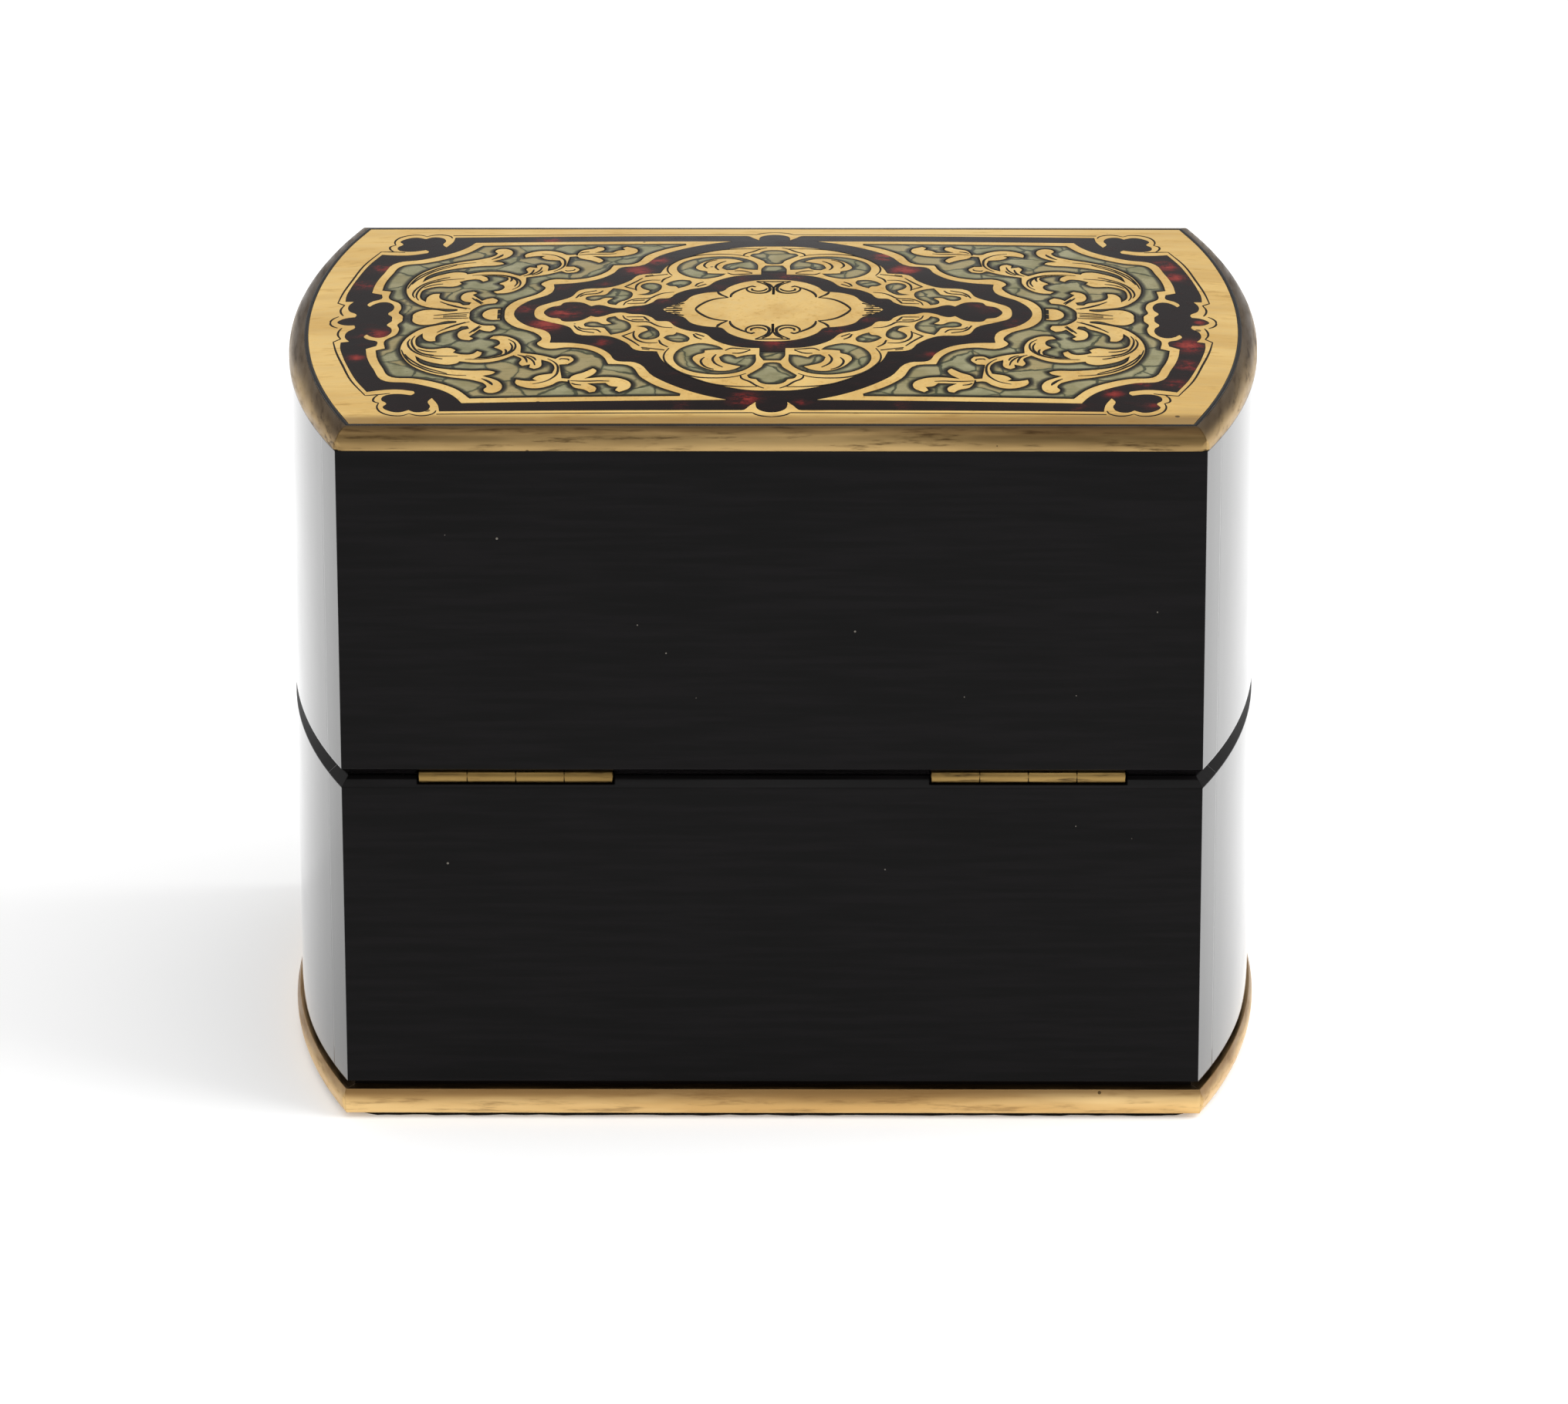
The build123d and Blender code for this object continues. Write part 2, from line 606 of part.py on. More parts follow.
plate_edge = bowed_outline(sheet_inset, 0)
centre_leaves = mirrored_four(bud + comma + drop + crescent + stem + bell)
foliage = acanthus + boss

with BuildPart() as top_stringing:
    inlay(bowed_ring(rim_width, sheet_inset, 0))

with BuildPart() as brass_border:
    inlay(plate_edge - frame_edge)

with BuildPart() as shell_frame:
    inlay(frame_edge - panel_edge - panel_edge.mirror(Plane.YZ) - field_edge)

with BuildPart() as brass_field:
    inlay(field_edge - ring_edge - centre_leaves)

with BuildPart() as horn_leaves:
    inlay(centre_leaves)

with BuildPart() as shell_ring:
    inlay(ring_edge - cartouche_edge)

with BuildPart() as brass_cartouche:
    inlay(cartouche_edge)

for part, name in (
    (top_stringing.part, "top_stringing"),
    (brass_border.part, "brass_border"),
    (shell_frame.part, "shell_frame"),
    (brass_field.part, "brass_field"),
    (horn_leaves.part, "horn_leaves"),
    (shell_ring.part, "shell_ring"),
    (brass_cartouche.part, "brass_cartouche"),
):
    part.label = name
    export_step(part, f"parts/{name}.step")

for end_name, side in (("left", -1), ("right", 1)):
    for piece_name, region in (
        ("brass_fillet", panel_edge - ground_edge),
        ("horn_ground", ground_edge - foliage),
        ("brass_foliage", foliage),
    ):
        with BuildPart() as side_inlay:
            inlay(region if side > 0 else region.mirror(Plane.YZ))
        side_inlay.part.label = f"{end_name}_{piece_name}"
        export_step(side_inlay.part, f"parts/{end_name}_{piece_name}.step")

# Liner boards that stand above the seam, so that the lid shuts over them
with BuildPart() as liner_room:
    with Locations((0, 0, (floor_level + seam_height) / 2)):
        Box(2 * inner_half, cavity, seam_height - floor_level)
    with Locations((0, 0, seam_height + liner_lip / 2)):
        Box(2 * (inner_half - lip_clearance), cavity - 2 * lip_clearance, liner_lip)

liner_height = liner_top - floor_level
liner_x = inner_half - liner_thickness / 2
liner_y = cavity / 2 - liner_thickness / 2
end_liner_length = cavity - 2 * liner_thickness
for name, place_x, place_y, size_x, size_y in (
    ("liner_front", 0, -liner_y, 2 * inner_half, liner_thickness),
    ("liner_back", 0, liner_y, 2 * inner_half, liner_thickness),
    ("liner_left", -liner_x, 0, liner_thickness, end_liner_length),
    ("liner_right", liner_x, 0, liner_thickness, end_liner_length),
):
    with BuildPart() as liner:
        with Locations((place_x, place_y, floor_level + liner_height / 2)):
            Box(size_x, size_y, liner_height)
        add(liner_room.part, mode=Mode.INTERSECT)
    liner.part.label = name
    export_step(liner.part, f"parts/{name}.step")

room_x = inner_half - liner_thickness
room_y = cavity / 2 - liner_thickness
deck_bottom = deck_top - deck_thickness
bottle_hole = bottle_width + 2 * bottle_fit

with BuildPart() as floor_pad:
    with Locations((0, 0, floor_level + pad_thickness / 2)):
        Box(2 * room_x, 2 * room_y, pad_thickness)

with BuildPart() as bottle_deck:
    with Locations((0, 0, deck_bottom + deck_thickness / 2)):
        Box(2 * room_x, 2 * room_y, deck_thickness)
    with BuildSketch(Plane.XY.offset(deck_bottom)):
        with GridLocations(bottle_pitch, 0, bottle_count, 1):
            Rectangle(bottle_hole, bottle_hole)
    extrude(amount=deck_thickness, mode=Mode.SUBTRACT)

with BuildPart() as deck_rails:
    with Locations((0, 0, deck_bottom - rail_section / 2)):
        with GridLocations(2 * room_x - rail_section, 0, 2, 1):
            Box(rail_section, 2 * room_y, rail_section)

with BuildPart() as bottle_dividers:
    with Locations((0, 0, (pad_top + deck_bottom) / 2)):
        with GridLocations(bottle_pitch, 0, bottle_count - 1, 1):
            Box(divider_thickness, 2 * room_y, deck_bottom - pad_top)

# Cut-corner bottles with ground stoppers
bottle_top = pad_top + bottle_body
neck_foot = bottle_top + bottle_shoulder
lip_foot = neck_foot + bottle_neck
mouth = lip_foot + lip_thickness


def cut_corner_square(width, corner, level):
    """A square with its corners cut, on a level plane."""
    with BuildSketch(Plane.XY.offset(level)) as section:
        Rectangle(width, width)
        chamfer(section.vertices(), corner)
    return section.sketch


def neck_circle(radius, level):
    """A circle on a level plane."""
    with BuildSketch(Plane.XY.offset(level)) as section:
        Circle(radius)
    return section.sketch


def octagon(flat_radius, level):
    """An octagon on a level plane, measured across its flats."""
    with BuildSketch(Plane.XY.offset(level)) as section:
        RegularPolygon(flat_radius, 8, major_radius=False)
    return section.sketch


bottle_names = ("left", "middle", "right")
for place, bottle_name in enumerate(bottle_names):
    place_x = (place - (bottle_count - 1) / 2) * bottle_pitch
    inside = bottle_width - 2 * bottle_wall
    inside_corner = bottle_corner - bottle_wall / 2
    with BuildPart() as bottle:
        extrude(cut_corner_square(bottle_width, bottle_corner, pad_top), amount=bottle_body)
        extrude(
            cut_corner_square(bottle_width, bottle_corner, bottle_top),
            amount=bottle_shoulder,
            taper=degrees(atan((bottle_width / 2 - neck_radius) / bottle_shoulder)),
        )
        extrude(octagon(neck_radius, neck_foot - 1), amount=bottle_neck + 1)
        extrude(octagon(lip_radius, lip_foot), amount=lip_thickness)
        extrude(
            cut_corner_square(inside, inside_corner, pad_top + bottle_base),
            amount=bottle_body - bottle_base,
            mode=Mode.SUBTRACT,
        )
        extrude(neck_circle(neck_bore, bottle_top - 1), amount=mouth - bottle_top + 2, mode=Mode.SUBTRACT)
    placed = bottle.part.translate((place_x, 0, 0))
    placed.label = f"{bottle_name}_bottle"
    export_step(placed, f"parts/{bottle_name}_bottle.step")

    collar_foot = mouth + stopper_seat
    waist_level = collar_foot + stopper_collar
    head_rise = stopper_height - stopper_collar
    rise_to_belt = 0.5 * head_rise
    crown_rise = head_rise - rise_to_belt - stopper_belt
    with BuildPart() as stopper:
        extrude(neck_circle(neck_bore - stopper_play, collar_foot - stopper_plug), amount=stopper_plug)
        extrude(octagon(stopper_foot, collar_foot), amount=stopper_collar)
        spread = degrees(atan((stopper_head - stopper_waist) / rise_to_belt))
        extrude(octagon(stopper_waist, waist_level), amount=rise_to_belt, taper=-spread)
        extrude(octagon(stopper_head, waist_level + rise_to_belt), amount=stopper_belt)
        extrude(
            octagon(stopper_head, waist_level + rise_to_belt + stopper_belt),
            amount=crown_rise,
            taper=degrees(atan((stopper_head - stopper_top) / crown_rise)),
        )
    placed = stopper.part.translate((place_x, 0, 0))
    placed.label = f"{bottle_name}_stopper"
    export_step(placed, f"parts/{bottle_name}_stopper.step")

for part, name in (
    (floor_pad.part, "floor_pad"),
    (bottle_deck.part, "bottle_deck"),
    (deck_rails.part, "deck_rails"),
    (bottle_dividers.part, "bottle_dividers"),
):
    part.label = name
    export_step(part, f"parts/{name}.step")

# Butt hinges: four knuckles each, two to a leaf, on one pin
knuckle_pitch = hinge_length / knuckle_count


def hinge_leaf(x, leaf_low, own, bore):
    """One leaf with its knuckles; own is 0 or 1, the first knuckle that it carries."""
    with Locations((x, hinge_y - leaf_width / 2, leaf_low + leaf_thickness / 2)):
        Box(hinge_length, leaf_width, leaf_thickness)
    for index in range(knuckle_count):
        centre = x - hinge_length / 2 + (index + 0.5) * knuckle_pitch
        with Locations(Location((centre, hinge_y, hinge_z), (0, 90, 0))):
            if index % 2 == own:
                Cylinder(knuckle_radius, knuckle_pitch - knuckle_gap)
            else:
                Cylinder(
                    knuckle_radius + knuckle_clearance,
                    knuckle_pitch + knuckle_gap,
                    mode=Mode.SUBTRACT,
                )
    with Locations(Location((x, hinge_y, hinge_z), (0, 90, 0))):
        Cylinder(bore, hinge_length + 2, mode=Mode.SUBTRACT)
    for place_x in (x - hinge_screw_spacing / 2, x + hinge_screw_spacing / 2):
        with Locations((place_x, hinge_screw_y, leaf_low + leaf_thickness / 2)):
            Cylinder(screw_head_radius, leaf_thickness, mode=Mode.SUBTRACT)


def wood_screws(places, seat, plate, way):
    """Screws let into a plate of that thickness; way is 1 for shanks that point up."""
    for x, y in places:
        with Locations((x, y, seat + way * plate / 2)):
            Cylinder(screw_head_radius, plate)
        with Locations((x, y, seat + way * (plate + screw_length / 2))):
            Cylinder(screw_shank_radius, screw_length)


for end_name, side in (("left", -1), ("right", 1)):
    hinge_x = side * hinge_spacing / 2
    with BuildPart() as base_leaf:
        hinge_leaf(hinge_x, seam_height - leaf_thickness, 0, pin_radius)
    base_leaf.part.label = f"{end_name}_hinge_base_leaf"
    export_step(base_leaf.part, f"parts/{end_name}_hinge_base_leaf.step")

    with BuildPart() as lid_leaf:
        hinge_leaf(hinge_x, lid_bottom, 1, pin_radius + pin_play)
    lid_leaf.part.label = f"{end_name}_hinge_lid_leaf"
    export_step(lid_leaf.part, f"parts/{end_name}_hinge_lid_leaf.step")

    with BuildPart() as hinge_pin:
        with Locations(Location((hinge_x, hinge_y, hinge_z), (0, 90, 0))):
            Cylinder(pin_radius, hinge_length)
    hinge_pin.part.label = f"{end_name}_hinge_pin"
    export_step(hinge_pin.part, f"parts/{end_name}_hinge_pin.step")

leaf_screw_places = [
    (x + shift, hinge_screw_y)
    for x, y, z in hinge_places
    for shift in (-hinge_screw_spacing / 2, hinge_screw_spacing / 2)
]

lock_screw_places = [(side * lock_screw_spacing / 2, lock_y) for side in (-1, 1)]
catch_screw_places = [(side * catch_screw_spacing / 2, lock_y) for side in (-1, 1)]

with BuildPart() as base_screws:
    wood_screws(leaf_screw_places, seam_height, leaf_thickness, -1)
    wood_screws(lock_screw_places, seam_height, lock_plate, -1)

with BuildPart() as lid_screws:
    wood_screws(leaf_screw_places, lid_bottom, leaf_thickness, 1)
    wood_screws(catch_screw_places, lid_bottom, catch_plate, 1)

# Lock: a case let into the front wall, with a bolt that slides through the lid's staple
channel_width = lock_thickness - 2 * lock_cheek
channel_top = seam_height - lock_plate
bolt_top = channel_top - bolt_play
bolt_level = bolt_top - bolt_height / 2
nose_tip = -(staple_length / 2 + bolt_play)
bolt_front = nose_tip - bolt_throw - nose_spare
bolt_back = bolt_front - bolt_length
channel_bottom = bolt_top - bolt_height - bolt_play
channel_start = bolt_back - bolt_play
channel_end = nose_tip + bolt_throw + bolt_play
hole_bottom = lid_bottom - staple_drop + staple_bar
nose_level = hole_bottom + staple_play + nose_height / 2

with BuildPart() as lock_case:
    with Locations((0, lock_y, seam_height - lock_height / 2)):
        Box(lock_width, lock_thickness, lock_height)
    with Locations((0, lock_y, seam_height - lock_plate / 2)):
        Box(lock_selvedge, lock_thickness, lock_plate)
        for place in lock_screw_places:
            with Locations((place[0], 0, 0)):
                Cylinder(screw_head_radius, lock_plate, mode=Mode.SUBTRACT)
    with Locations(((channel_start + channel_end) / 2, lock_y, (channel_bottom + channel_top) / 2)):
        Box(channel_end - channel_start, channel_width, channel_top - channel_bottom, mode=Mode.SUBTRACT)
    with Locations((0, lock_y, seam_height)):
        Box(
            staple_length + 2 * staple_play,
            channel_width,
            2 * (staple_drop - seam_gap + staple_play),
            mode=Mode.SUBTRACT,
        )
    with Locations(Location((0, lock_y, keyhole_level), (90, 0, 0))):
        Cylinder(key_chamber, channel_width, mode=Mode.SUBTRACT)
    extrude(keyhole(0).translate((0, lock_y, 0)), amount=lock_thickness, mode=Mode.SUBTRACT)
    with Locations(Location((0, lock_y, keyhole_level), (90, 0, 0))):
        Cylinder(key_pin_radius, lock_thickness)

with BuildPart() as lock_bolt:
    with Locations(((bolt_back + bolt_front) / 2, lock_y, bolt_level)):
        Box(bolt_length, channel_width - 2 * bolt_play, bolt_height)
    with Locations(((bolt_front + nose_tip) / 2, lock_y, nose_level)):
        Box(nose_tip - bolt_front, nose_thickness, nose_height)

with BuildPart() as lid_catch:
    with Locations((0, lock_y, lid_bottom + catch_plate / 2)):
        Box(catch_length, lock_thickness, catch_plate)
        for place in catch_screw_places:
            with Locations((place[0], 0, 0)):
                Cylinder(screw_head_radius, catch_plate, mode=Mode.SUBTRACT)

with BuildPart() as lid_staple:
    with Locations((0, lock_y, lid_bottom - staple_drop / 2)):
        Box(staple_length, staple_width, staple_drop)
    with Locations((0, lock_y, (lid_bottom + hole_bottom) / 2)):
        Box(staple_length, staple_width - 2 * staple_leg, lid_bottom - hole_bottom, mode=Mode.SUBTRACT)

for part, name in (
    (base_screws.part, "base_screws"),
    (lid_screws.part, "lid_screws"),
    (lock_case.part, "lock_case"),
    (lock_bolt.part, "lock_bolt"),
    (lid_catch.part, "lid_catch"),
    (lid_staple.part, "lid_staple"),
):
    part.label = name
    export_step(part, f"parts/{name}.step")
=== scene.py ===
# %% [markdown]
# # A perfume box with a marquetry top
# The CAD model gives every solid of the box in its place. Blender gives it its looks: sawn sheet brass,
# tortoiseshell and green horn on the top, black polished wood, tarnished mouldings, velvet and crystal. The
# frame is loaded first, and every piece made here is in the same metres and the same place.

# %% Open the frame
import json
from math import acos, cos, degrees, pi, radians, sin

import bpy
import numpy as np
from mathutils import Matrix, Vector


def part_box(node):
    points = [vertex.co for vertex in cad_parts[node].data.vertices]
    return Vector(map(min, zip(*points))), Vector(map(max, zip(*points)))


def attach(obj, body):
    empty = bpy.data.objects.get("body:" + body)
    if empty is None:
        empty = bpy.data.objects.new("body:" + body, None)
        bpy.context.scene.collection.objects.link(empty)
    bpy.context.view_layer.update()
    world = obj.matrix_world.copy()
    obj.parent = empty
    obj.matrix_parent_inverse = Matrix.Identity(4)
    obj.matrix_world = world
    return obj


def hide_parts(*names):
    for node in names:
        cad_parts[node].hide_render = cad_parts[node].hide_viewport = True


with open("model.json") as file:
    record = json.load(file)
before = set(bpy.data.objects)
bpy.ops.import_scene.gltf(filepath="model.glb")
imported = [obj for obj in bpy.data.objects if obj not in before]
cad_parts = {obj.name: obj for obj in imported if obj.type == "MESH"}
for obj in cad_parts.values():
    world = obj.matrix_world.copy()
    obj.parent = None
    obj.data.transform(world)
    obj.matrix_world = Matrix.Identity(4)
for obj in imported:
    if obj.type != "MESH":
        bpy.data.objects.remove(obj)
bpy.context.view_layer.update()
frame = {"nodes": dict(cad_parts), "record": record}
nodes = frame["nodes"]
MM = 0.001


# %% [markdown]
# ## Colours and shader nodes
# Materials need colours as linear light, while a colour picked from a picture is an sRGB hex value, so one
# function turns one into the other. Another adds a shader node with its settings and its links, which keeps
# each material short. Sums, ranges and mixes come up again and again, so a table says once which of
# Blender's nodes each is, which sockets take its values in turn, and its settings. A range goes smoothly
# from one pair of limits to another, 0 and 1 where no other is given.

# %% Colours and nodes
KINDS = {
    "sum": ("Math", (0, 1), {"operation": "ADD", "use_clamp": True}),
    "difference": ("Math", (0, 1), {"operation": "SUBTRACT"}),
    "product": ("Math", (0, 1), {"operation": "MULTIPLY"}),
    "larger": ("Math", (0, 1), {"operation": "MAXIMUM"}),
    "below": ("Math", (0, 1), {"operation": "LESS_THAN"}),
    "unsigned": ("Math", (0,), {"operation": "ABSOLUTE"}),
    "range": ("MapRange", (0, 1, 2, 3, 4), {"interpolation_type": "SMOOTHSTEP"}),
    "mix": ("Mix", (0, 6, 7), {"data_type": "RGBA"}),
}
MIXED_COLOUR = 2


def linear(code):
    """An sRGB hex colour as linear red, green, blue and alpha."""
    values = [int(code[i:i + 2], 16) / 255 for i in (1, 3, 5)]
    return tuple(v / 12.92 if v <= 0.04045 else ((v + 0.055) / 1.055) ** 2.4 for v in values) + (1.0,)


def add(tree, kind, *values, inputs=None, stops=None, **settings):
    """One shader node, of a kind in the table or by Blender's own name.

    Its values come in turn or, in inputs, by socket. A value is a number, a hex colour, another node or one
    of its outputs. Stops are the places and colours of a ramp.
    """
    blender_kind, sockets, usual = KINDS.get(kind, (kind, (), {}))
    made = tree.nodes.new("ShaderNode" + blender_kind)
    for name, value in {**usual, **settings}.items():
        setattr(made, name, value)
    if stops:
        ramp = made.color_ramp
        while len(ramp.elements) < len(stops):
            ramp.elements.new(1.0)
        for element, (place, colour) in zip(ramp.elements, stops):
            element.position = place
            element.color = linear(colour)
    for socket, value in {**dict(zip(sockets, values)), **(inputs or {})}.items():
        if isinstance(value, bpy.types.Node):
            value = value.outputs[MIXED_COLOUR if value.bl_idname == "ShaderNodeMix" else 0]
        if isinstance(value, bpy.types.NodeSocket):
            tree.links.new(value, made.inputs[socket])
        else:
            made.inputs[socket].default_value = linear(value) if isinstance(value, str) else value
    return made


def surface(name):
    """A new material, its empty tree and the position on the object."""
    material = bpy.data.materials.new(name)
    material.use_nodes = True
    material.node_tree.nodes.clear()
    return material, material.node_tree, add(material.node_tree, "TexCoord").outputs["Object"]


def finished(material, inputs):
    """The material, with its main shader made from these inputs."""
    shader = add(material.node_tree, "BsdfPrincipled", inputs=inputs)
    add(material.node_tree, "OutputMaterial", inputs={"Surface": shader})
    print("finish:", material.name)
    return material


# %% [markdown]
# ## Patterns that the finishes share
# Nearly every finish has cloudy variation, a little relief, or specks. Each pattern is given by a real size
# in millimetres. The bump node reads a height, and its distance is how far the full height stands out. The
# bevel node rounds the shading of sharp edges, as handling does.

# %% Clouds, specks and relief
BEVEL_SAMPLES = 6


def noise(tree, place, size, detail=3.0, roughness=0.5, stretch=(1, 1, 1), seed=(0, 0, 0)):
    """Cloudy noise whose patches measure about size mm, and are longer where stretch is below 1."""
    moved = add(tree, "Mapping", inputs={"Vector": place, "Scale": stretch, "Location": seed})
    made = add(tree, "TexNoise", inputs={"Vector": moved, "Scale": 1 / (size * MM), "Detail": detail,
                                         "Roughness": roughness})
    return made.outputs["Fac"]


def specks(tree, place, spacing, chosen_from, widest):
    """Round specks in cells spacing mm across, in those whose random number is over chosen_from."""
    cells = add(tree, "TexVoronoi", inputs={"Vector": place, "Scale": 1 / (spacing * MM)}, feature="F1")
    chance = add(tree, "SeparateColor", inputs={0: cells.outputs["Color"]})
    size = add(tree, "range", chance, chosen_from, 1.0, 0.0, widest)
    return add(tree, "below", cells.outputs["Distance"], size)


def bumped(tree, height, distance, strength=1.0, worn=0.0):
    """A normal from a height, whose full range stands distance proud, with edges worn round, both in mm."""
    inputs = {"Height": height, "Distance": distance * MM, "Strength": strength}
    if worn:
        inputs["Normal"] = add(tree, "Bevel", inputs={"Radius": worn * MM}, samples=BEVEL_SAMPLES)
    return add(tree, "Bump", inputs=inputs)


def layered(tree, first, share, second, other_share):
    """The sum of two heights, each at its share."""
    return add(tree, "sum", add(tree, "product", first, share), add(tree, "product", second, other_share))


# %% [markdown]
# ## Selection and points
# Operators act on whatever is selected, so each new piece starts with a clear selection. Points are read
# and written all at once as rows of numbers, in millimetres, which is much faster than one by one.

# %% Selection and points
def alone(piece):
    """Selects one piece and nothing else, and makes it the active one."""
    for other in bpy.context.selected_objects:
        other.select_set(False)
    piece.select_set(True)
    bpy.context.view_layer.objects.active = piece


def smoothed(piece, sharp_from):
    """Shades a piece smooth, apart from edges that turn by more than sharp_from degrees."""
    alone(piece)
    bpy.ops.object.shade_smooth_by_angle(angle=radians(sharp_from))


def placed_vertices(piece):
    """The piece's points as rows of x, y and z, in mm."""
    flat = np.empty(len(piece.data.vertices) * 3)
    piece.data.vertices.foreach_get("co", flat)
    return flat.reshape(-1, 3) / MM


def set_vertices(piece, rows):
    """Puts changed points, in mm, back into the piece."""
    piece.data.vertices.foreach_set("co", (rows * MM).ravel())
    piece.data.update()


# %% [markdown]
# ## Camera
# The picture was taken from behind the box with a long lens, so its sides hardly converge. A camera is a
# place, three directions and a focal length; these were fitted to the corners of the top, the seam and the
# foot. The lens is the focal length in pixels, turned to millimetres of a 36 mm sensor.

# %% Set up the camera
IMAGE_WIDTH = 2032
FOCAL_PIXELS = 13742.5
SENSOR = 36.0
elevation, yaw, roll = radians(23.7604), radians(-0.4171), radians(-0.12)
aim = Vector((-1.566, 0.0, 51.6735)) * MM
away = 1.680625

back = Vector((sin(yaw) * cos(elevation), cos(yaw) * cos(elevation), sin(elevation)))
level_right = (-back).cross(Vector((0, 0, 1))).normalized()
level_up = level_right.cross(-back)
right = cos(roll) * level_right + sin(roll) * level_up
up = -sin(roll) * level_right + cos(roll) * level_up

camera_data = bpy.data.cameras.new("camera")
camera_data.sensor_width = SENSOR
camera_data.lens = FOCAL_PIXELS / IMAGE_WIDTH * SENSOR
camera_data.clip_start = 0.05
camera = bpy.data.objects.new("camera", camera_data)
bpy.context.scene.collection.objects.link(camera)
pose = Matrix((right, up, back)).transposed().to_4x4()
pose.translation = aim + back * away
camera.matrix_world = pose
bpy.context.scene.camera = camera
print("lens, mm:", round(camera_data.lens, 1))


# %% [markdown]
# ## Floor
# The box stands on a white sweep. The floor adds a little white for rays that see it directly, in metal or
# through glass, so that it is white there and still takes the shadow.

# %% Floor
FLOOR_SIZE, FLOOR_GLOW = 8.0, 0.24

bpy.ops.object.select_all(action="DESELECT")
bpy.ops.mesh.primitive_plane_add(size=FLOOR_SIZE, location=(0, 0, 0))
floor = bpy.context.object
floor.name = "floor"

floor_paint, tree, place = surface("white sweep")
path = add(tree, "LightPath").outputs
seen = add(tree, "sum", path["Is Camera Ray"], path["Is Glossy Ray"])
seen = add(tree, "sum", seen, path["Is Transmission Ray"])
floor.data.materials.append(finished(floor_paint, {
    "Base Color": "#F4F4F4", "Roughness": 0.9, "Specular IOR Level": 0.0, "Emission Color": (1, 1, 1, 1),
    "Emission Strength": add(tree, "product", seen, FLOOR_GLOW)}))


# %% [markdown]
# ## Room and lamps
# A large softbox above and to the picture's right gives the shadow on its left, and a wide one overhead
# lights the top. The world is a room with a white sweep, a white ceiling and a dimmer wall between them:
# satin brass gathers the ceiling, and the polished shell mirrors the wall, which keeps it dark. The side
# lamp doesn't show in metal, because satin brass spreads it over the whole top when the box is seen from
# the far end, and that burns out. Heights in the room are the sine of the angle above the horizon.

# %% World and lamps
ROOM, WALL = 0.74, 0.72
SWEEP_ENDS = (0.06, 0.24)
CEILING_BEGINS = (0.62, 0.85)

world = bpy.data.worlds.new("pale room")
bpy.context.scene.world = world
world.use_nodes = True
tree = world.node_tree
tree.nodes.clear()
direction = add(tree, "TexCoord").outputs["Generated"]
rising = add(tree, "SeparateXYZ", inputs={0: direction}).outputs["Z"]
sweep = add(tree, "range", rising, *SWEEP_ENDS, 1.0, WALL)
in_gloss = add(tree, "larger", sweep, add(tree, "range", rising, *CEILING_BEGINS))
path = add(tree, "LightPath").outputs
plain = add(tree, "larger", path["Is Camera Ray"], path["Is Transmission Ray"])
plain = add(tree, "larger", plain, ROOM)
strength = add(tree, "range", path["Is Glossy Ray"], 0, 1, plain, in_gloss)
room = add(tree, "Background", inputs={"Color": (1, 1, 1, 1), "Strength": strength})
add(tree, "OutputWorld", inputs={"Surface": room})


def softbox(name, place, target, size, power, mirrored):
    """A square lamp at place that looks at target, both in metres; metal shows it only if it is mirrored."""
    data = bpy.data.lights.new(name, "AREA")
    data.size = size
    data.energy = power
    lamp = bpy.data.objects.new(name, data)
    bpy.context.scene.collection.objects.link(lamp)
    lamp.location = place
    lamp.rotation_euler = (Vector(target) - Vector(place)).to_track_quat("-Z", "Y").to_euler()
    lamp.visible_glossy = mirrored
    print(name, "of", power, "W")


softbox("key softbox", (-0.9, 0.15, 0.7), (0, 0, 0.05), 0.8, 8.5, False)
softbox("overhead softbox", (-0.1, 0.1, 1.3), (0, 0, 0.1), 1.0, 3.0, True)
bpy.context.scene.view_settings.view_transform = "Standard"


# %% [markdown]
# ## Black polished wood
# The carcass is pearwood, stained black and French polished: many thin coats of shellac give a deep gloss
# over wood whose pores still show as a faint grain. The surface is nearly black, so most of what the eye
# sees is reflection, and it is the small faults that make it real: cloudy polish and specks of dust. The
# bowed ends have more coats of shellac than the flat walls, so an upright face that looks sideways gets a
# thick coat, which mirrors the white room where it is seen at a glancing angle. Handling has worn every
# edge round by a third of a millimetre.

# %% Ebonised wood
def ebonised_wood():
    material, tree, place = surface("French polished ebonised pearwood")
    grain = noise(tree, place, 1.2, 4, 0.6, (0.06, 1, 1))
    cloud = noise(tree, place, 16, 3)
    black = add(tree, "mix", add(tree, "range", grain, 0.35, 0.7), "#0B0A0A", "#121011")
    dust = add(tree, "product", specks(tree, place, 4.2, 0.6, 0.045), 0.35)
    facing = add(tree, "NewGeometry").outputs["True Normal"]
    facing = add(tree, "SeparateXYZ", inputs={0: facing}).outputs
    sideways = add(tree, "range", add(tree, "unsigned", facing["X"]), 0.12, 0.3)
    upright = add(tree, "range", add(tree, "unsigned", facing["Z"]), 0.1, 0.3, 1.0, 0.0)
    glancing = add(tree, "range", add(tree, "LayerWeight").outputs["Facing"], 0.25, 0.6)
    thick_coat = add(tree, "product", add(tree, "product", sideways, upright), glancing)
    normal = bumped(tree, layered(tree, cloud, 0.8, grain, 0.1), 0.06, 0.5, worn=0.3)
    return finished(material, {
        "Base Color": add(tree, "mix", dust, black, "#B8B0A4"),
        "Roughness": add(tree, "range", cloud, 0.35, 0.7, 0.1, 0.2),
        "Specular IOR Level": 0.08, "Coat Weight": thick_coat, "Coat IOR": 1.9, "Coat Roughness": 0.05,
        "Normal": normal, "Coat Normal": normal})


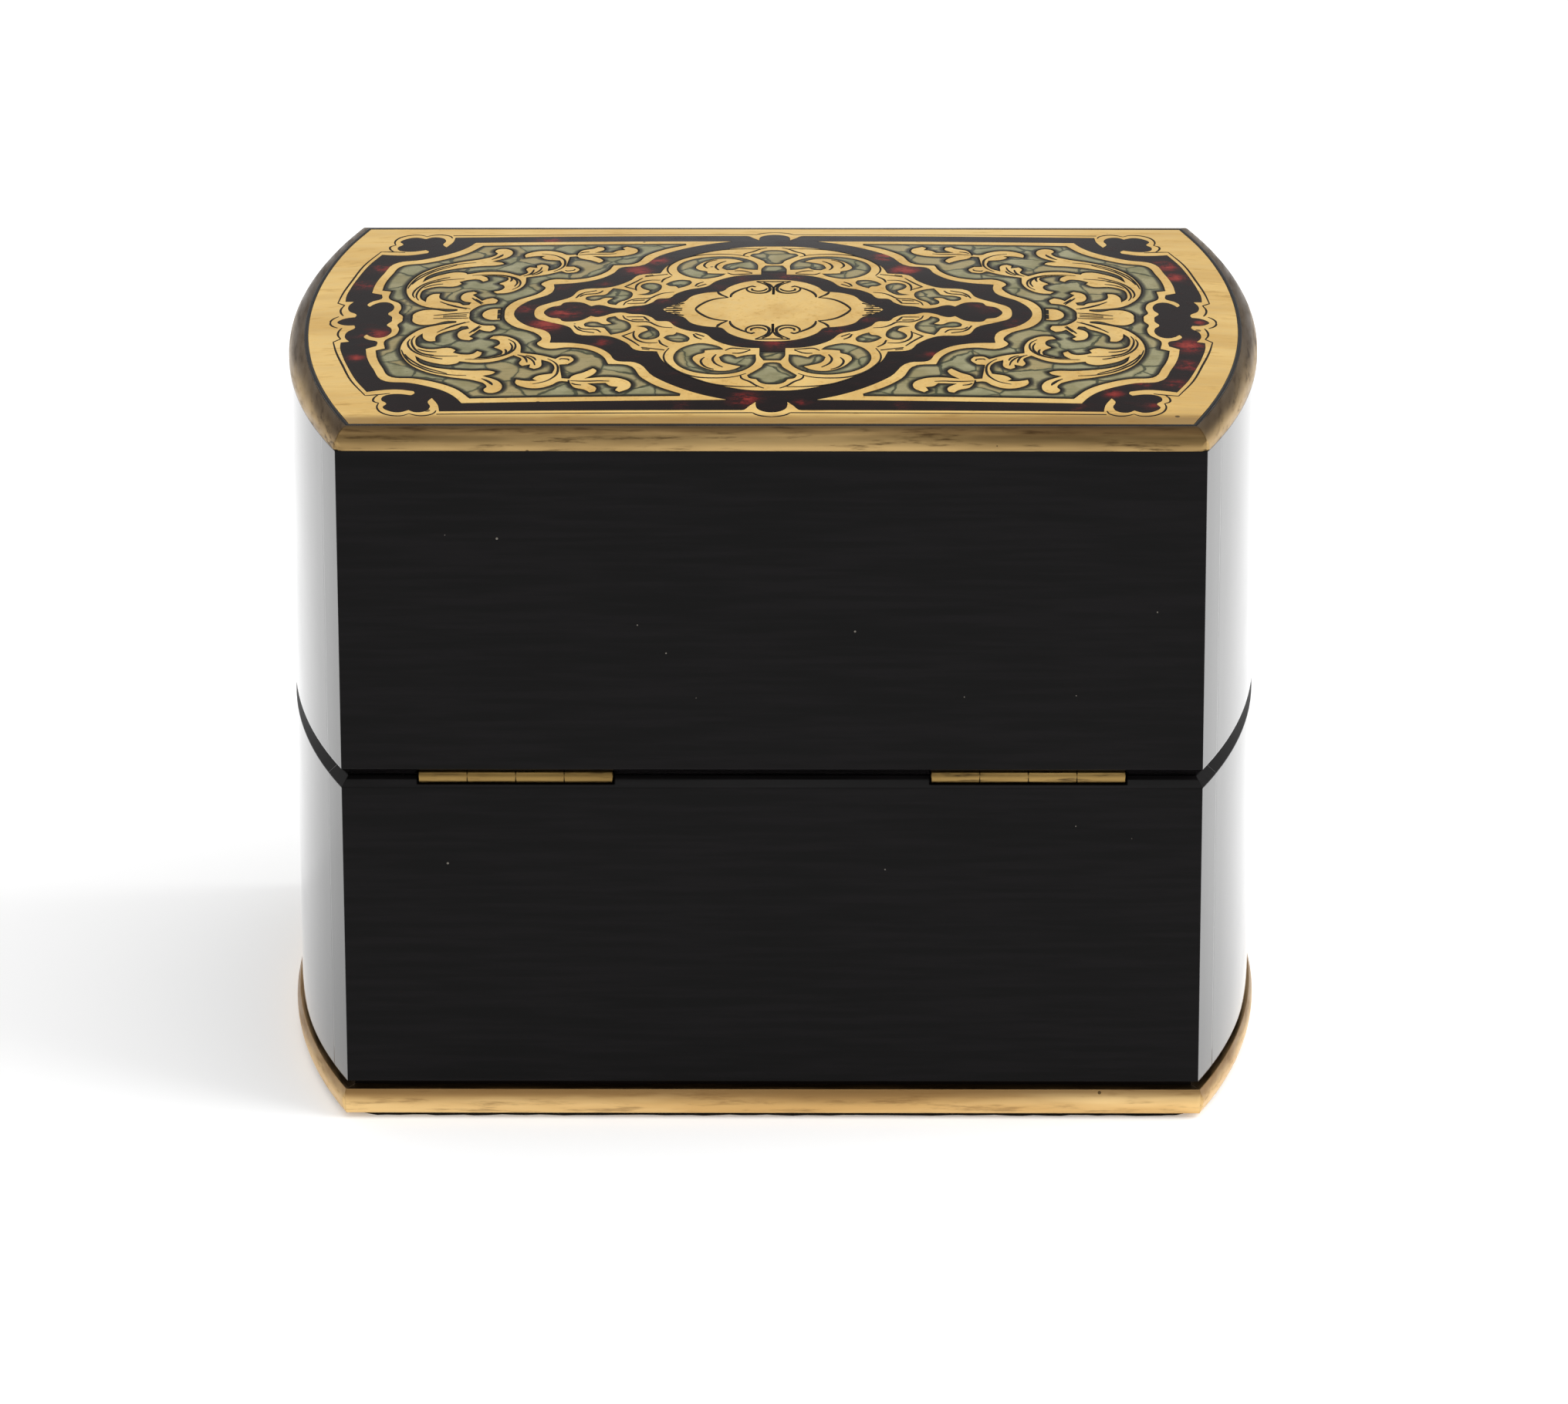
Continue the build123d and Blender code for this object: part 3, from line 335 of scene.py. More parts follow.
# %% [markdown]
# ## Brass, three ways
# Brass is copper and zinc, about 70 to 30. The mouldings are rolled strip that has gone brown in streaks
# along its length and in small pits. The plates of the top are sawn sheet, rubbed down with fine grit that
# leaves faint lines, and polished brighter. The hinges are the darkest, handled and oily. One function
# makes all of them from their colours and their amount of tarnish. Pits lie in cells of the size given, in
# millimetres, and the scratches, finer in truth than would show, are drawn a quarter of a millimetre wide.
# On a moulding the brass is painted darker toward its upper edge, as painted shade where it meets the part
# above, and fingers have dulled the strip of the border beside the hinges. The grime and painted shade give
# the axis and the two places, in metres, between which that begins.

# %% Brass
GRIME_AND_SHADE_WANDERS = 0.0028


def brass(name, bright, dull, brown, tarnish, rough, stretch, pit, worn=0.0, grime_and_painted_shade=None):
    material, tree, place = surface(name)
    broad = noise(tree, place, 9, 4, 0.6, stretch)
    fine = noise(tree, place, 1.1, 4, 0.65, stretch, (0.3, 0.1, 0.2))
    tone = add(tree, "mix", add(tree, "range", broad, 0.36, 0.66), bright, dull)
    stained = add(tree, "product", add(tree, "range", fine, 0.52, 0.74), tarnish)
    tone = add(tree, "mix", stained, tone, brown)
    # The darkened band is painted shade on a moulding, toward its upper edge, and finger dulling on the
    # border.
    if grime_and_painted_shade:
        axis, begins, full = grime_and_painted_shade
        along = add(tree, "SeparateXYZ", inputs={0: place}).outputs[axis]
        wandering = add(tree, "sum", along, add(tree, "product", broad, GRIME_AND_SHADE_WANDERS))
        tone = add(tree, "mix", add(tree, "range", wandering, begins, full, 0.0, 0.8), tone, brown)
    pits = specks(tree, place, pit, 0.66, 0.11)
    scratches = noise(tree, place, 0.25, 2, 0.5, (0.03, 1, 1))
    relief = layered(tree, broad, 0.7, scratches, 0.25)
    relief = add(tree, "difference", relief, add(tree, "product", pits, 0.5))
    return finished(material, {
        "Metallic": 1.0,
        "Base Color": add(tree, "mix", add(tree, "product", pits, 0.75), tone, "#2C1D10"),
        "Roughness": add(tree, "range", fine, 0.3, 0.75, rough, rough + 0.2),
        "Normal": bumped(tree, relief, 0.05, 0.6, worn)})


# %% [markdown]
# ## Tortoiseshell
# Marquetry of this kind lays thin shell over a coloured ground, here black with red under it, so the shell
# looks nearly black and glows deep red in cloudy patches. It is a clear horn-like keratin with an index of
# about 1.56, polished like glass. The patches are placed one by one, as an attribute of the sheet called
# ruby, and a fine noise breaks up their edges.

# %% Tortoiseshell
def tortoiseshell():
    material, tree, place = surface("polished tortoiseshell over red and black")
    ruby = add(tree, "Attribute", attribute_name="ruby").outputs["Fac"]
    wisp = noise(tree, place, 2.1, 4, 0.65, (0.6, 1, 1))
    flame = noise(tree, place, 2.6, 5, 0.75, (0.7, 1, 1), (0.1, 0.4, 0.2))
    broken = add(tree, "range", flame, 0.38, 0.6, 0.2, 1.1)
    glow = add(tree, "product", add(tree, "product", ruby, 0.8), broken)
    patch = add(tree, "sum", glow, add(tree, "product", wisp, 0.45))
    colour = add(tree, "ValToRGB", inputs={"Fac": patch}, stops=[
        (0.0, "#0B0606"), (0.26, "#140A0A"), (0.42, "#2E0F0E"), (0.66, "#631715"), (1.0, "#862F26")])
    return finished(material, {
        "Base Color": colour, "IOR": 1.56, "Specular IOR Level": 0.04,
        "Roughness": add(tree, "range", wisp, 0.3, 0.7, 0.16, 0.3),
        "Normal": bumped(tree, wisp, 0.03, 0.4)})


# %% [markdown]
# ## Green stained horn
# Horn is boiled, pressed flat and stained green on its back. With age the panes have shrunk and split into
# small plates whose joints have filled with black. Each plate is a little different in colour, and the
# stain is darkest along the edges of each piece. The joints follow cells about 6 mm across, pushed about by
# noise, and the dark edge follows an attribute with the distance to the sawn outline, in millimetres.

# %% Stained horn
PLATE_SIZE, PUSHED, PUSH_SIZE = 6.2, 2.2, 3.0


def stained_horn():
    material, tree, place = surface("polished green stained horn")
    flat = add(tree, "Mapping", inputs={"Vector": place, "Scale": (1, 1, 0)}).outputs[0]
    warp = add(tree, "TexNoise", inputs={"Vector": flat, "Scale": 1 / (PUSH_SIZE * MM), "Detail": 3.0})
    warp = warp.outputs["Color"]
    pushed = add(tree, "VectorMath", inputs={0: warp, 1: (0.5, 0.5, 0.5)}, operation="SUBTRACT")
    pushed = add(tree, "VectorMath", inputs={0: pushed, "Scale": PUSHED * MM}, operation="SCALE")
    plates = {"Vector": add(tree, "VectorMath", inputs={0: flat, 1: pushed}, operation="ADD"),
              "Scale": 1 / (PLATE_SIZE * MM)}
    gap = add(tree, "TexVoronoi", inputs=plates, feature="DISTANCE_TO_EDGE", voronoi_dimensions="2D")
    gap = gap.outputs["Distance"]
    cells = add(tree, "TexVoronoi", inputs=plates, feature="F1", voronoi_dimensions="2D")
    tint = add(tree, "SeparateColor", inputs={0: cells.outputs["Color"]})
    cloud = noise(tree, flat, 4, 4, 0.6)
    fibre = noise(tree, flat, 0.5, 3, 0.6, (0.12, 1, 1))
    tone = add(tree, "mix", add(tree, "range", cloud, 0.3, 0.7), "#BDB58E", "#958E68")
    tone = add(tree, "mix", add(tree, "range", tint, 0.3, 1, 0.0, 0.8), tone, "#C6AA72")
    tone = add(tree, "mix", add(tree, "range", fibre, 0.45, 0.8, 0, 0.4), tone, "#626748")
    tone = add(tree, "mix", add(tree, "range", gap, 0.0, 0.09, 0.6, 0.0), tone, "#4A4A30")
    joint_width = add(tree, "range", noise(tree, flat, 6, 2), 0.35, 0.65, 0.012, 0.046)
    joint = add(tree, "below", gap, joint_width)
    tone = add(tree, "mix", add(tree, "product", joint, 0.88), tone, "#14100B")
    edge = add(tree, "Attribute", attribute_name="to_edge").outputs["Fac"]
    ragged = add(tree, "sum", edge, add(tree, "product", cloud, 0.4))
    tone = add(tree, "mix", add(tree, "range", ragged, 0.5, 2.2, 0.6, 0.0), tone, "#4C5238")
    tone = add(tree, "mix", add(tree, "range", ragged, 0.36, 1.1, 0.95, 0.0), tone, "#14120B")
    relief = add(tree, "difference", add(tree, "product", cloud, 0.6), add(tree, "product", joint, 0.6))
    return finished(material, {
        "Base Color": tone, "IOR": 1.54, "Specular IOR Level": 0.08,
        "Roughness": add(tree, "range", cloud, 0.3, 0.7, 0.22, 0.4),
        "Normal": bumped(tree, relief, 0.06, 0.6)})


# %% [markdown]
# ## Rosewood, steel and the dark mastic
# The liner and the tray are rosewood: red brown with darker growth lines a millimetre or so apart along the
# board. The lock bolt is filed steel, with the file's fine lines across it. Mastic is the black filler
# rubbed into the saw cuts of the marquetry, and it is dull.

# %% Rosewood, steel, mastic
def rosewood():
    material, tree, place = surface("polished rosewood")
    flow = noise(tree, place, 12, 3, 0.6, (0.15, 1, 1))
    lines = noise(tree, place, 1.3, 4, 0.6, (0.04, 1, 1))
    tone = add(tree, "mix", add(tree, "range", flow, 0.3, 0.7), "#6A3626", "#4A2218")
    return finished(material, {
        "Base Color": add(tree, "mix", add(tree, "range", lines, 0.48, 0.68, 0, 0.85), tone, "#24100B"),
        "Roughness": add(tree, "range", lines, 0.4, 0.7, 0.24, 0.4),
        "Normal": bumped(tree, lines, 0.05, 0.5)})


def filed_steel():
    material, tree, place = surface("filed steel")
    marks = noise(tree, place, 0.2, 2, 0.5, (1, 1, 0.05))
    cloud = noise(tree, place, 3, 3)
    return finished(material, {
        "Metallic": 1.0,
        "Base Color": add(tree, "mix", add(tree, "range", cloud, 0.35, 0.7), "#9A9893", "#6C6660"),
        "Roughness": add(tree, "range", marks, 0.3, 0.7, 0.28, 0.48),
        "Normal": bumped(tree, marks, 0.02, 0.5)})


def mastic():
    material, tree, place = surface("black mastic")
    crumbs = noise(tree, place, 0.4, 3)
    return finished(material, {
        "Base Color": add(tree, "mix", add(tree, "range", crumbs, 0.4, 0.75), "#0F0C09", "#2A2118"),
        "Roughness": 0.7, "Specular IOR Level": 0.2,
        "Normal": bumped(tree, crumbs, 0.04, 0.6)})


# %% [markdown]
# ## Velvet, felt and crystal
# Velvet is a short cut pile, so it is brightest where it is seen edge on: the sheen does that. Felt is
# matted wool with no weave. Cut crystal is clear lead glass with an index of 1.54; its faces are flat and
# sharp, so it needs no bump, only the faint marks of handling in its roughness.

# %% Velvet, felt, crystal
def velvet():
    material, tree, place = surface("crimson silk velvet")
    crushed = noise(tree, place, 6, 4, 0.6)
    pile = noise(tree, place, 0.35, 2)
    tone = add(tree, "mix", add(tree, "range", crushed, 0.3, 0.7), "#5A0E19", "#7E1A28")
    return finished(material, {
        "Base Color": add(tree, "mix", add(tree, "range", pile, 0.35, 0.7, 0, 0.5), tone, "#3C0810"),
        "Roughness": 0.85, "Sheen Weight": 0.8, "Sheen Roughness": 0.4, "Sheen Tint": "#D8707C",
        "Specular IOR Level": 0.1,
        "Normal": bumped(tree, layered(tree, crushed, 0.5, pile, 0.5), 0.3, 0.7)})


def felt():
    material, tree, place = surface("dark wool felt")
    mat = noise(tree, place, 0.6, 4, 0.7)
    return finished(material, {
        # Near black, so that where the cloth's rim shows under the foot it also paints the contact shadow.
        "Base Color": add(tree, "mix", add(tree, "range", mat, 0.3, 0.75), "#0C0A09", "#241F1A"),
        "Roughness": 0.95, "Sheen Weight": 0.08, "Specular IOR Level": 0.1,
        "Normal": bumped(tree, mat, 0.3, 0.8)})


def crystal():
    material, tree, place = surface("cut lead crystal")
    handled = noise(tree, place, 4, 3)
    return finished(material, {
        "Base Color": "#F6FAF9", "Transmission Weight": 1.0, "IOR": 1.54,
        "Roughness": add(tree, "range", handled, 0.45, 0.75, 0.01, 0.06)})


# %% [markdown]
# ## Dressing the CAD nodes
# Each node's slot says what it is made of, and takes that finish. The eight mouldings get a brass each
# instead, because tarnish runs along the strip, and because the foot, which is rubbed by every cloth, is
# brighter than the rim. Their painted shade, a darkening toward the upper edge, begins at a share of their
# height.

# %% Finishes
WORN_BRASS, PITS = 0.2, 3.4
finishes = {
    "ebonised_wood": ebonised_wood(),
    "engraved_brass": brass("polished sheet brass", "#FBD88C", "#EBC477", "#A88142", 0.35, 0.4, (1, 1, 1),
                            5.2),
    "hinge_brass": brass("dark oiled brass", "#AB8D56", "#7A6238", "#2E2218", 0.95, 0.24, (0.12, 1, 1), 2.8,
                         WORN_BRASS),
    "tortoiseshell": tortoiseshell(),
    "stained_horn": stained_horn(),
    "rosewood": rosewood(),
    "crimson_velvet": velvet(),
    "dark_felt": felt(),
    "cut_crystal": crystal(),
    "lock_steel": filed_steel(),
}
black_mastic = mastic()
border_brass = brass("fingered sheet brass", "#FBD88C", "#EBC477", "#A27E46", 0.4, 0.4, (0.2, 1, 1), 4.4,
                     grime_and_painted_shade=("Y", 0.0382, 0.0408))

# %% Brass of the mouldings
MOULDINGS = {"rim": ("#B29564", "#7E6641", "#3A2918", 0.9), "foot": ("#EECC90", "#D6AE70", "#7A5A36", 0.5)}
# Share of each moulding's height where its painted shade toward the upper edge begins.
PAINTED_SHADE_FROM = {"rim": 0.8, "foot": 0.7}
PAST_TOP = 1.2 * MM
LENGTHWAYS = {"front": (0.12, 1, 1), "back": (0.12, 1, 1), "left": (1, 0.12, 1), "right": (1, 0.12, 1)}
moulding_brass = {}
for place, (bright, dull, brown, tarnish) in MOULDINGS.items():
    for side, stretch in LENGTHWAYS.items():
        node = f"{place}_moulding_{side}"
        # Painted shade: toward the upper edge, where the moulding meets the part above, the brass is darkened
        # to brown.
        foot_of_it, top_of_it = (corner.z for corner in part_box(node))
        grime_and_painted_shade = ("Z", foot_of_it + (top_of_it - foot_of_it) * PAINTED_SHADE_FROM[place], top_of_it + PAST_TOP)
        moulding_brass[node] = brass(f"{place} brass, {side}", bright, dull, brown, tarnish, 0.3, stretch,
                                     PITS, WORN_BRASS, grime_and_painted_shade)

# %% Dress the nodes
for part in frame["record"]["subparts"]:
    piece = nodes[part["node"]]
    finish = moulding_brass.get(part["node"]) or finishes[part["material_slot"]]
    if piece.material_slots:
        piece.material_slots[0].material = finish
    else:
        piece.data.materials.append(finish)
print(len(nodes), "CAD nodes dressed in", len(finishes) + len(moulding_brass), "finishes")


# %% [markdown]
# ## Sawn outlines
# The marquetry was drawn on paper and sawn with a fret blade through a packet of sheets. A sawn line is
# smooth except where the blade turned on the spot, so each outline here is a smooth line through a few
# points, with a corner where it turns by more than 55 degrees, and a straight run where two points are far
# apart. Points are in mm from the middle of the top, for one quarter or one half, and the rest is mirrored.

# %% Points of the outlines
FRAME = [
    (0, 37.4), (1.2, 37.1), (2.1, 36.3), (2.4, 35.2), (2.4, 34.0), (3.3, 35.2), (4.6, 36.7), (50.8, 36.6),
    (51.1, 34.3), (52.1, 31.7), (52.7, 33.0), (52.3, 35.0), (53.0, 36.5), (54.5, 36.8), (55.5, 36.0),
    (57.0, 36.8), (58.7, 36.1), (59.5, 34.8), (59.0, 33.5), (59.8, 32.2), (59.6, 30.8), (58.6, 30.1),
    (57.4, 30.0), (55.3, 30.6), (54.8, 29.8), (55.0, 29.1), (57.5, 28.3), (60.0, 28.4), (62.2, 28.9),
    (64.0, 24.4), (65.4, 19.4), (66.5, 14.5), (67.1, 10.4), (67.1, 8.6), (65.8, 8.4), (66.5, 6.7),
    (66.3, 4.4), (65.1, 2.6), (65.3, 1.7), (66.6, 1.5), (67.6, 0.8), (68.0, 0),
]
FIELD = [
    (0, 30.4), (3.2, 30.3), (6.6, 29.3), (10.0, 27.5), (13.0, 25.2), (15.4, 22.6), (17.0, 19.8), (17.9, 16.5),
    (21.2, 15.8), (22.6, 13.2), (25.5, 10.4), (30.4, 9.3), (31.7, 6.4), (35.1, 3.9), (36.7, 2.6), (37.3, 0),
]
RING = [
    (1.95, 16.8), (1.95, 15.5), (4.4, 15.3), (7.0, 14.2), (9.0, 12.4), (10.5, 9.9),
    (13.4, 8.5), (15.2, 6.8), (16.3, 4.9), (18.0, 4.6), (18.8, 3.2), (20.2, 1.95), (22.3, 1.5),
    (23.4, 0.9), (25.3, 1.3), (26.5, 2.2), (27.4, 2.5), (28.4, 2.0), (30.1, 3.8), (31.4, 4.1),
    (32.7, 3.8), (33.2, 2.8), (34.6, 2.2), (35.4, 1.1), (35.7, 0),
]
CARTOUCHE = [
    (0, 13.0), (2.3, 12.8), (4.7, 11.8), (6.8, 9.9), (8.4, 7.5), (9.2, 7.4), (11.0, 6.9), (12.6, 5.8),
    (14.0, 3.2), (15.3, 2.1), (16.6, 0.9), (17.2, 0),
]
PANEL = [
    (59.5, 0), (59.5, 0.8), (60.2, 2.4), (59.5, 3.8), (59.6, 6.2), (60.3, 7.2), (61.3, 7.5), (62.4, 6.9),
    (63.2, 5.8), (63.6, 6.6), (62.9, 8.0), (61.5, 9.0), (61.5, 10.8), (63.1, 11.8), (62.8, 15.0),
    (61.6, 20.0), (59.5, 25.0), (55.9, 25.9), (53.0, 27.4), (50.4, 29.3), (48.7, 31.4), (47.5, 33.8),
    (6.8, 33.4), (10.6, 31.7), (14.6, 29.0), (18.2, 25.4), (21.3, 20.3), (24.0, 19.7), (25.2, 17.0),
    (27.4, 14.3), (30.6, 12.8), (34.5, 12.3), (34.4, 10.1), (34.8, 8.4), (38.4, 5.0), (39.8, 2.7), (40.4, 0),
]
GROUND = [
    (57.8, 0), (57.8, 0.9), (58.5, 2.4), (58.2, 4.4), (58.6, 6.6), (60.2, 8.7), (60.1, 12.0), (61.5, 12.6),
    (61.2, 15.6), (60.2, 19.6), (58.6, 23.5), (55.2, 24.3), (51.8, 26.0), (48.6, 28.6), (46.3, 32.2),
    (14.1, 32.1), (14.0, 31.3), (17.2, 29.1), (20.0, 25.9), (22.3, 21.3), (25.3, 20.8), (26.2, 17.9),
    (29.0, 15.0), (31.5, 14.3), (34.9, 14.5), (36.0, 13.6), (36.5, 12.6), (35.8, 10.9), (36.4, 9.0),
    (40.6, 4.9), (41.7, 2.5), (41.9, 0),
]
ACANTHUS = [
    (56.3, 0), (56.2, 1.6), (54.7, 3.1), (53.1, 3.1), (50.6, 2.0), (49.4, 2.2), (49.4, 2.8), (52.5, 3.6),
    (54.2, 4.4), (56.4, 7.1), (57.5, 10.2), (57.7, 13.2), (57.2, 15.8), (55.4, 19.8), (53.4, 22.0),
    (49.7, 24.2), (45.9, 25.7), (44.2, 27.1), (43.9, 28.2), (44.3, 29.0), (43.9, 30.1), (42.8, 30.4),
    (41.8, 29.7), (41.4, 28.2), (41.8, 26.6), (44.5, 24.1), (42.9, 23.4), (42.6, 22.8), (43.4, 22.3),
    (46.4, 22.0), (49.7, 21.3), (52.6, 20.1), (54.7, 17.9), (55.2, 15.7), (54.0, 17.3), (52.0, 18.8),
    (49.7, 19.5), (48.5, 18.9), (48.3, 18.4), (45.3, 19.2), (42.5, 18.7), (40.0, 16.8), (38.8, 18.2),
    (39.1, 20.0), (38.6, 20.9), (37.4, 20.4), (37.5, 21.5), (36.7, 22.1), (35.9, 21.6), (35.6, 18.8),
    (34.3, 19.8), (33.6, 21.6), (33.9, 23.8), (36.3, 24.7), (36.9, 25.6), (36.3, 26.3), (37.6, 26.3),
    (39.4, 25.7), (39.5, 27.0), (38.2, 28.5), (35.9, 29.0), (33.8, 27.9), (32.6, 26.7), (31.2, 26.9),
    (30.4, 28.9), (28.6, 29.9), (28.0, 30.7), (27.1, 30.4), (26.9, 29.3), (28.3, 27.6), (25.6, 27.5),
    (24.8, 28.6), (23.7, 28.9), (24.1, 30.0), (23.4, 30.7), (21.8, 29.3), (21.7, 27.6), (23.2, 26.0),
    (25.6, 25.4), (28.7, 25.8), (27.3, 24.2), (27.0, 23.1), (27.6, 22.2), (29.0, 23.6), (30.8, 24.9),
    (31.2, 25.8), (32.3, 25.6), (32.6, 22.6), (32.8, 20.7), (31.5, 20.6), (30.6, 19.0), (31.1, 17.8),
    (32.6, 17.6), (33.5, 18.5), (35.6, 17.1), (38.9, 15.9), (39.1, 12.6), (40.2, 10.3), (42.0, 9.0),
    (43.4, 9.0), (44.0, 9.9), (42.7, 10.6), (42.4, 12.4), (43.2, 13.4), (41.8, 15.2), (41.9, 16.3),
    (43.7, 17.3), (46.0, 17.5), (45.1, 16.4), (44.9, 15.2), (45.7, 14.6), (46.5, 15.7), (48.0, 15.7),
    (49.4, 14.9), (49.0, 14.0), (49.8, 13.1), (53.2, 13.1), (54.9, 12.0), (55.4, 10.0), (55.2, 8.0),
    (54.5, 6.8), (54.2, 8.9), (53.3, 10.0), (52.3, 10.0), (52.2, 7.8), (50.4, 6.1), (49.1, 5.4),
    (48.5, 4.5), (47.6, 4.5), (47.3, 5.5), (48.4, 6.1), (49.0, 8.3), (48.3, 9.8), (47.0, 10.3),
    (46.4, 9.6), (47.1, 8.8), (45.6, 6.1), (44.8, 6.8), (43.9, 7.1), (43.1, 6.0), (43.4, 4.7),
    (45.3, 4.3), (46.5, 3.1), (47.3, 1.4), (47.3, 0),
]
BOSS = [(45.4, 0), (45.0, 1.4), (44.0, 2.3), (42.5, 2.3), (42.5, 0)]
BUD = [
    (24.6, 2.4), (25.7, 3.0), (25.9, 3.9), (25.0, 5.4), (26.2, 5.6), (27.6, 4.5), (28.6, 4.5), (29.3, 5.2),
    (29.2, 6.2), (28.4, 6.6), (26.2, 7.1), (25.7, 8.3), (25.1, 9.8), (23.4, 9.0), (22.3, 7.9), (22.1, 6.3),
    (22.8, 4.6), (24.0, 3.6),
]
COMMA = [
    (21.2, 6.7), (19.6, 6.5), (18.3, 7.7), (17.6, 9.6), (17.8, 11.1), (18.9, 11.9), (20.2, 11.7),
    (20.8, 10.6), (20.5, 9.5), (19.3, 8.3), (19.7, 7.4),
]
DROP = [
    (16.9, 11.3), (16.2, 10.4), (15.3, 10.2), (14.9, 9.4), (13.8, 10.2), (12.9, 12.0), (13.2, 12.9),
    (14.6, 13.2), (15.9, 12.6),
]
CRESCENT = [
    (7.6, 16.0), (8.2, 15.0), (9.5, 14.1), (11.2, 13.6), (12.8, 14.2), (14.4, 15.8), (15.2, 18.0),
    (14.8, 21.0), (13.2, 23.2), (10.8, 24.5), (8.0, 24.9), (5.4, 24.2), (3.6, 22.6), (2.7, 20.8),
    (2.6, 17.9), (4.0, 18.1), (5.5, 18.9), (6.2, 18.0), (7.4, 17.8), (8.2, 18.8), (7.6, 20.6),
    (6.0, 21.6), (4.8, 22.1), (5.8, 23.1), (8.0, 23.7), (10.2, 22.8), (11.8, 20.8), (12.3, 18.8),
    (11.5, 17.7), (10.6, 17.2), (10.5, 16.3), (9.4, 16.1),
]
STEM = [(0, 20.0), (1.3, 20.0), (1.9, 18.4), (1.95, 16.8)]
BELL = [
    (0, 28.3), (1.2, 28.1), (2.0, 27.4), (2.4, 26.6), (3.4, 26.2), (3.8, 25.2), (2.6, 23.7), (1.6, 22.3),
    (1.1, 21.0), (0, 20.7),
]


# %% Mirror and draw the outlines
def upended(points):
    """The points mirrored front to back."""
    return [(x, -y) for x, y in points]


def swapped(points):
    """The points mirrored left to right."""
    return [(-x, y) for x, y in points]


def two_ways(half):
    """A closed outline from the half that lies behind the long axis."""
    return half + upended(half)[-2:0:-1]


def across(half):
    """A closed outline from the half that lies right of the short axis."""
    return half + swapped(half)[-2:0:-1]


def four_ways(quarter):
    """A closed outline from its first quarter, which starts on one axis and ends on the other."""
    return across(quarter + upended(quarter)[-2::-1])


# %% [markdown]
# ## A smooth line through points
# A curve needs a handle on each side of a point. Both lie along one heading where the line runs on, and
# each points at its own neighbour at a corner. Where one neighbour is far away and the other near, the
# heading follows the long run, so that it stays straight.

# %% Draw a line
CORNER_TURN = 55.0
LONG_RUN, MUCH_LONGER = 5.0, 3
HANDLE_SHARE = 0.35


def turn_and_heading(before, here, after):
    """How far a line turns at a point, in degrees, and its heading there."""
    arriving, leaving = here - before, after - here
    first, second = arriving.normalized(), leaving.normalized()
    turn = degrees(acos(max(-1.0, min(1.0, first.dot(second)))))
    if arriving.length > max(LONG_RUN, MUCH_LONGER * leaving.length):
        heading = first
    elif leaving.length > max(LONG_RUN, MUCH_LONGER * arriving.length):
        heading = second
    else:
        heading = (first / arriving.length + second / leaving.length).normalized()
    return turn, heading


def area_inside(points):
    """The area inside a closed outline, below 0 where it runs clockwise."""
    return sum(a[0] * b[1] - b[0] * a[1] for a, b in zip(points, points[1:] + points[:1])) / 2


def draw_line(curve, points, closed=True, clockwise=False, widths=None):
    """Adds a smooth line through the points, in mm, to a curve."""
    if closed and (area_inside(points) < 0) != clockwise:
        points = points[::-1]
    spots = [Vector((x, y, 0)) * MM for x, y in points]
    spline = curve.splines.new("BEZIER")
    spline.bezier_points.add(len(spots) - 1)
    spline.use_cyclic_u = closed
    for i, (bezier, here) in enumerate(zip(spline.bezier_points, spots)):
        ends_here = not closed and i in (0, len(spots) - 1)
        before = spots[max(i - 1, 0)] if not closed else spots[i - 1]
        after = spots[min(i + 1, len(spots) - 1)] if not closed else spots[(i + 1) % len(spots)]
        to_before, to_after = before - here, after - here
        bezier.co = here
        bezier.handle_left_type = bezier.handle_right_type = "FREE"
        bezier.handle_left, bezier.handle_right = here + to_before / 3, here + to_after / 3
        if not ends_here:
            turn, heading = turn_and_heading(before / MM, here / MM, after / MM)
            if turn < CORNER_TURN:
                bezier.handle_left = here - heading * to_before.length * HANDLE_SHARE
                bezier.handle_right = here + heading * to_after.length * HANDLE_SHARE
        if widths:
            bezier.radius = widths[i]


# %% [markdown]
# ## From outline to domed sheet
# A sawn piece is a flat sheet that was glued down on a domed board. So it is drawn flat as a filled 2D
# curve with a little thickness, and the curve's own offset takes off half the width of the saw cut. As a
# mesh it is sliced on a grid, so that it has points to bend at, and each point is then lifted to the dome.

# %% Dome and grid
HALF_SPAN, HALF_DEPTH, RIM, RISE = 73.05, 41.55, 116.0, 2.7
OFF_THE_POINTS = 0.437


def dome(x, y):
    """Height of the top's surface above the floor, in mm."""
    return RIM + RISE * (1 - (x / HALF_SPAN) ** 2) * (1 - (y / HALF_DEPTH) ** 2)


def sliced(piece, step):
    """Cuts a flat piece along a grid of upright planes, step mm apart, that misses the drawn points."""
    rows = placed_vertices(piece)
    low, high = rows.min(0), rows.max(0)
    alone(piece)
    bpy.ops.object.mode_set(mode="EDIT")
    for axis, direction in ((0, (1, 0, 0)), (1, (0, 1, 0))):
        for count in range(int(low[axis] // step), int(high[axis] // step) + 1):
            bpy.ops.mesh.select_all(action="SELECT")
            place = [0, 0, 0]
            place[axis] = (count + OFF_THE_POINTS) * step * MM
            bpy.ops.mesh.bisect(plane_co=place, plane_no=direction)
    bpy.ops.object.mode_set(mode="OBJECT")


# %% Sheets between outlines
SHEET = 0.8
OUTLINE_STEPS = 5
JOINED = 1e-6
SHEET_SHARP_FROM = 30


def as_mesh(name, curve):
    """A curve put in the scene and turned to a mesh."""
    piece = bpy.data.objects.new(name, curve)
    bpy.context.scene.collection.objects.link(piece)
    alone(piece)
    bpy.ops.object.convert(target="MESH")
    return bpy.context.object


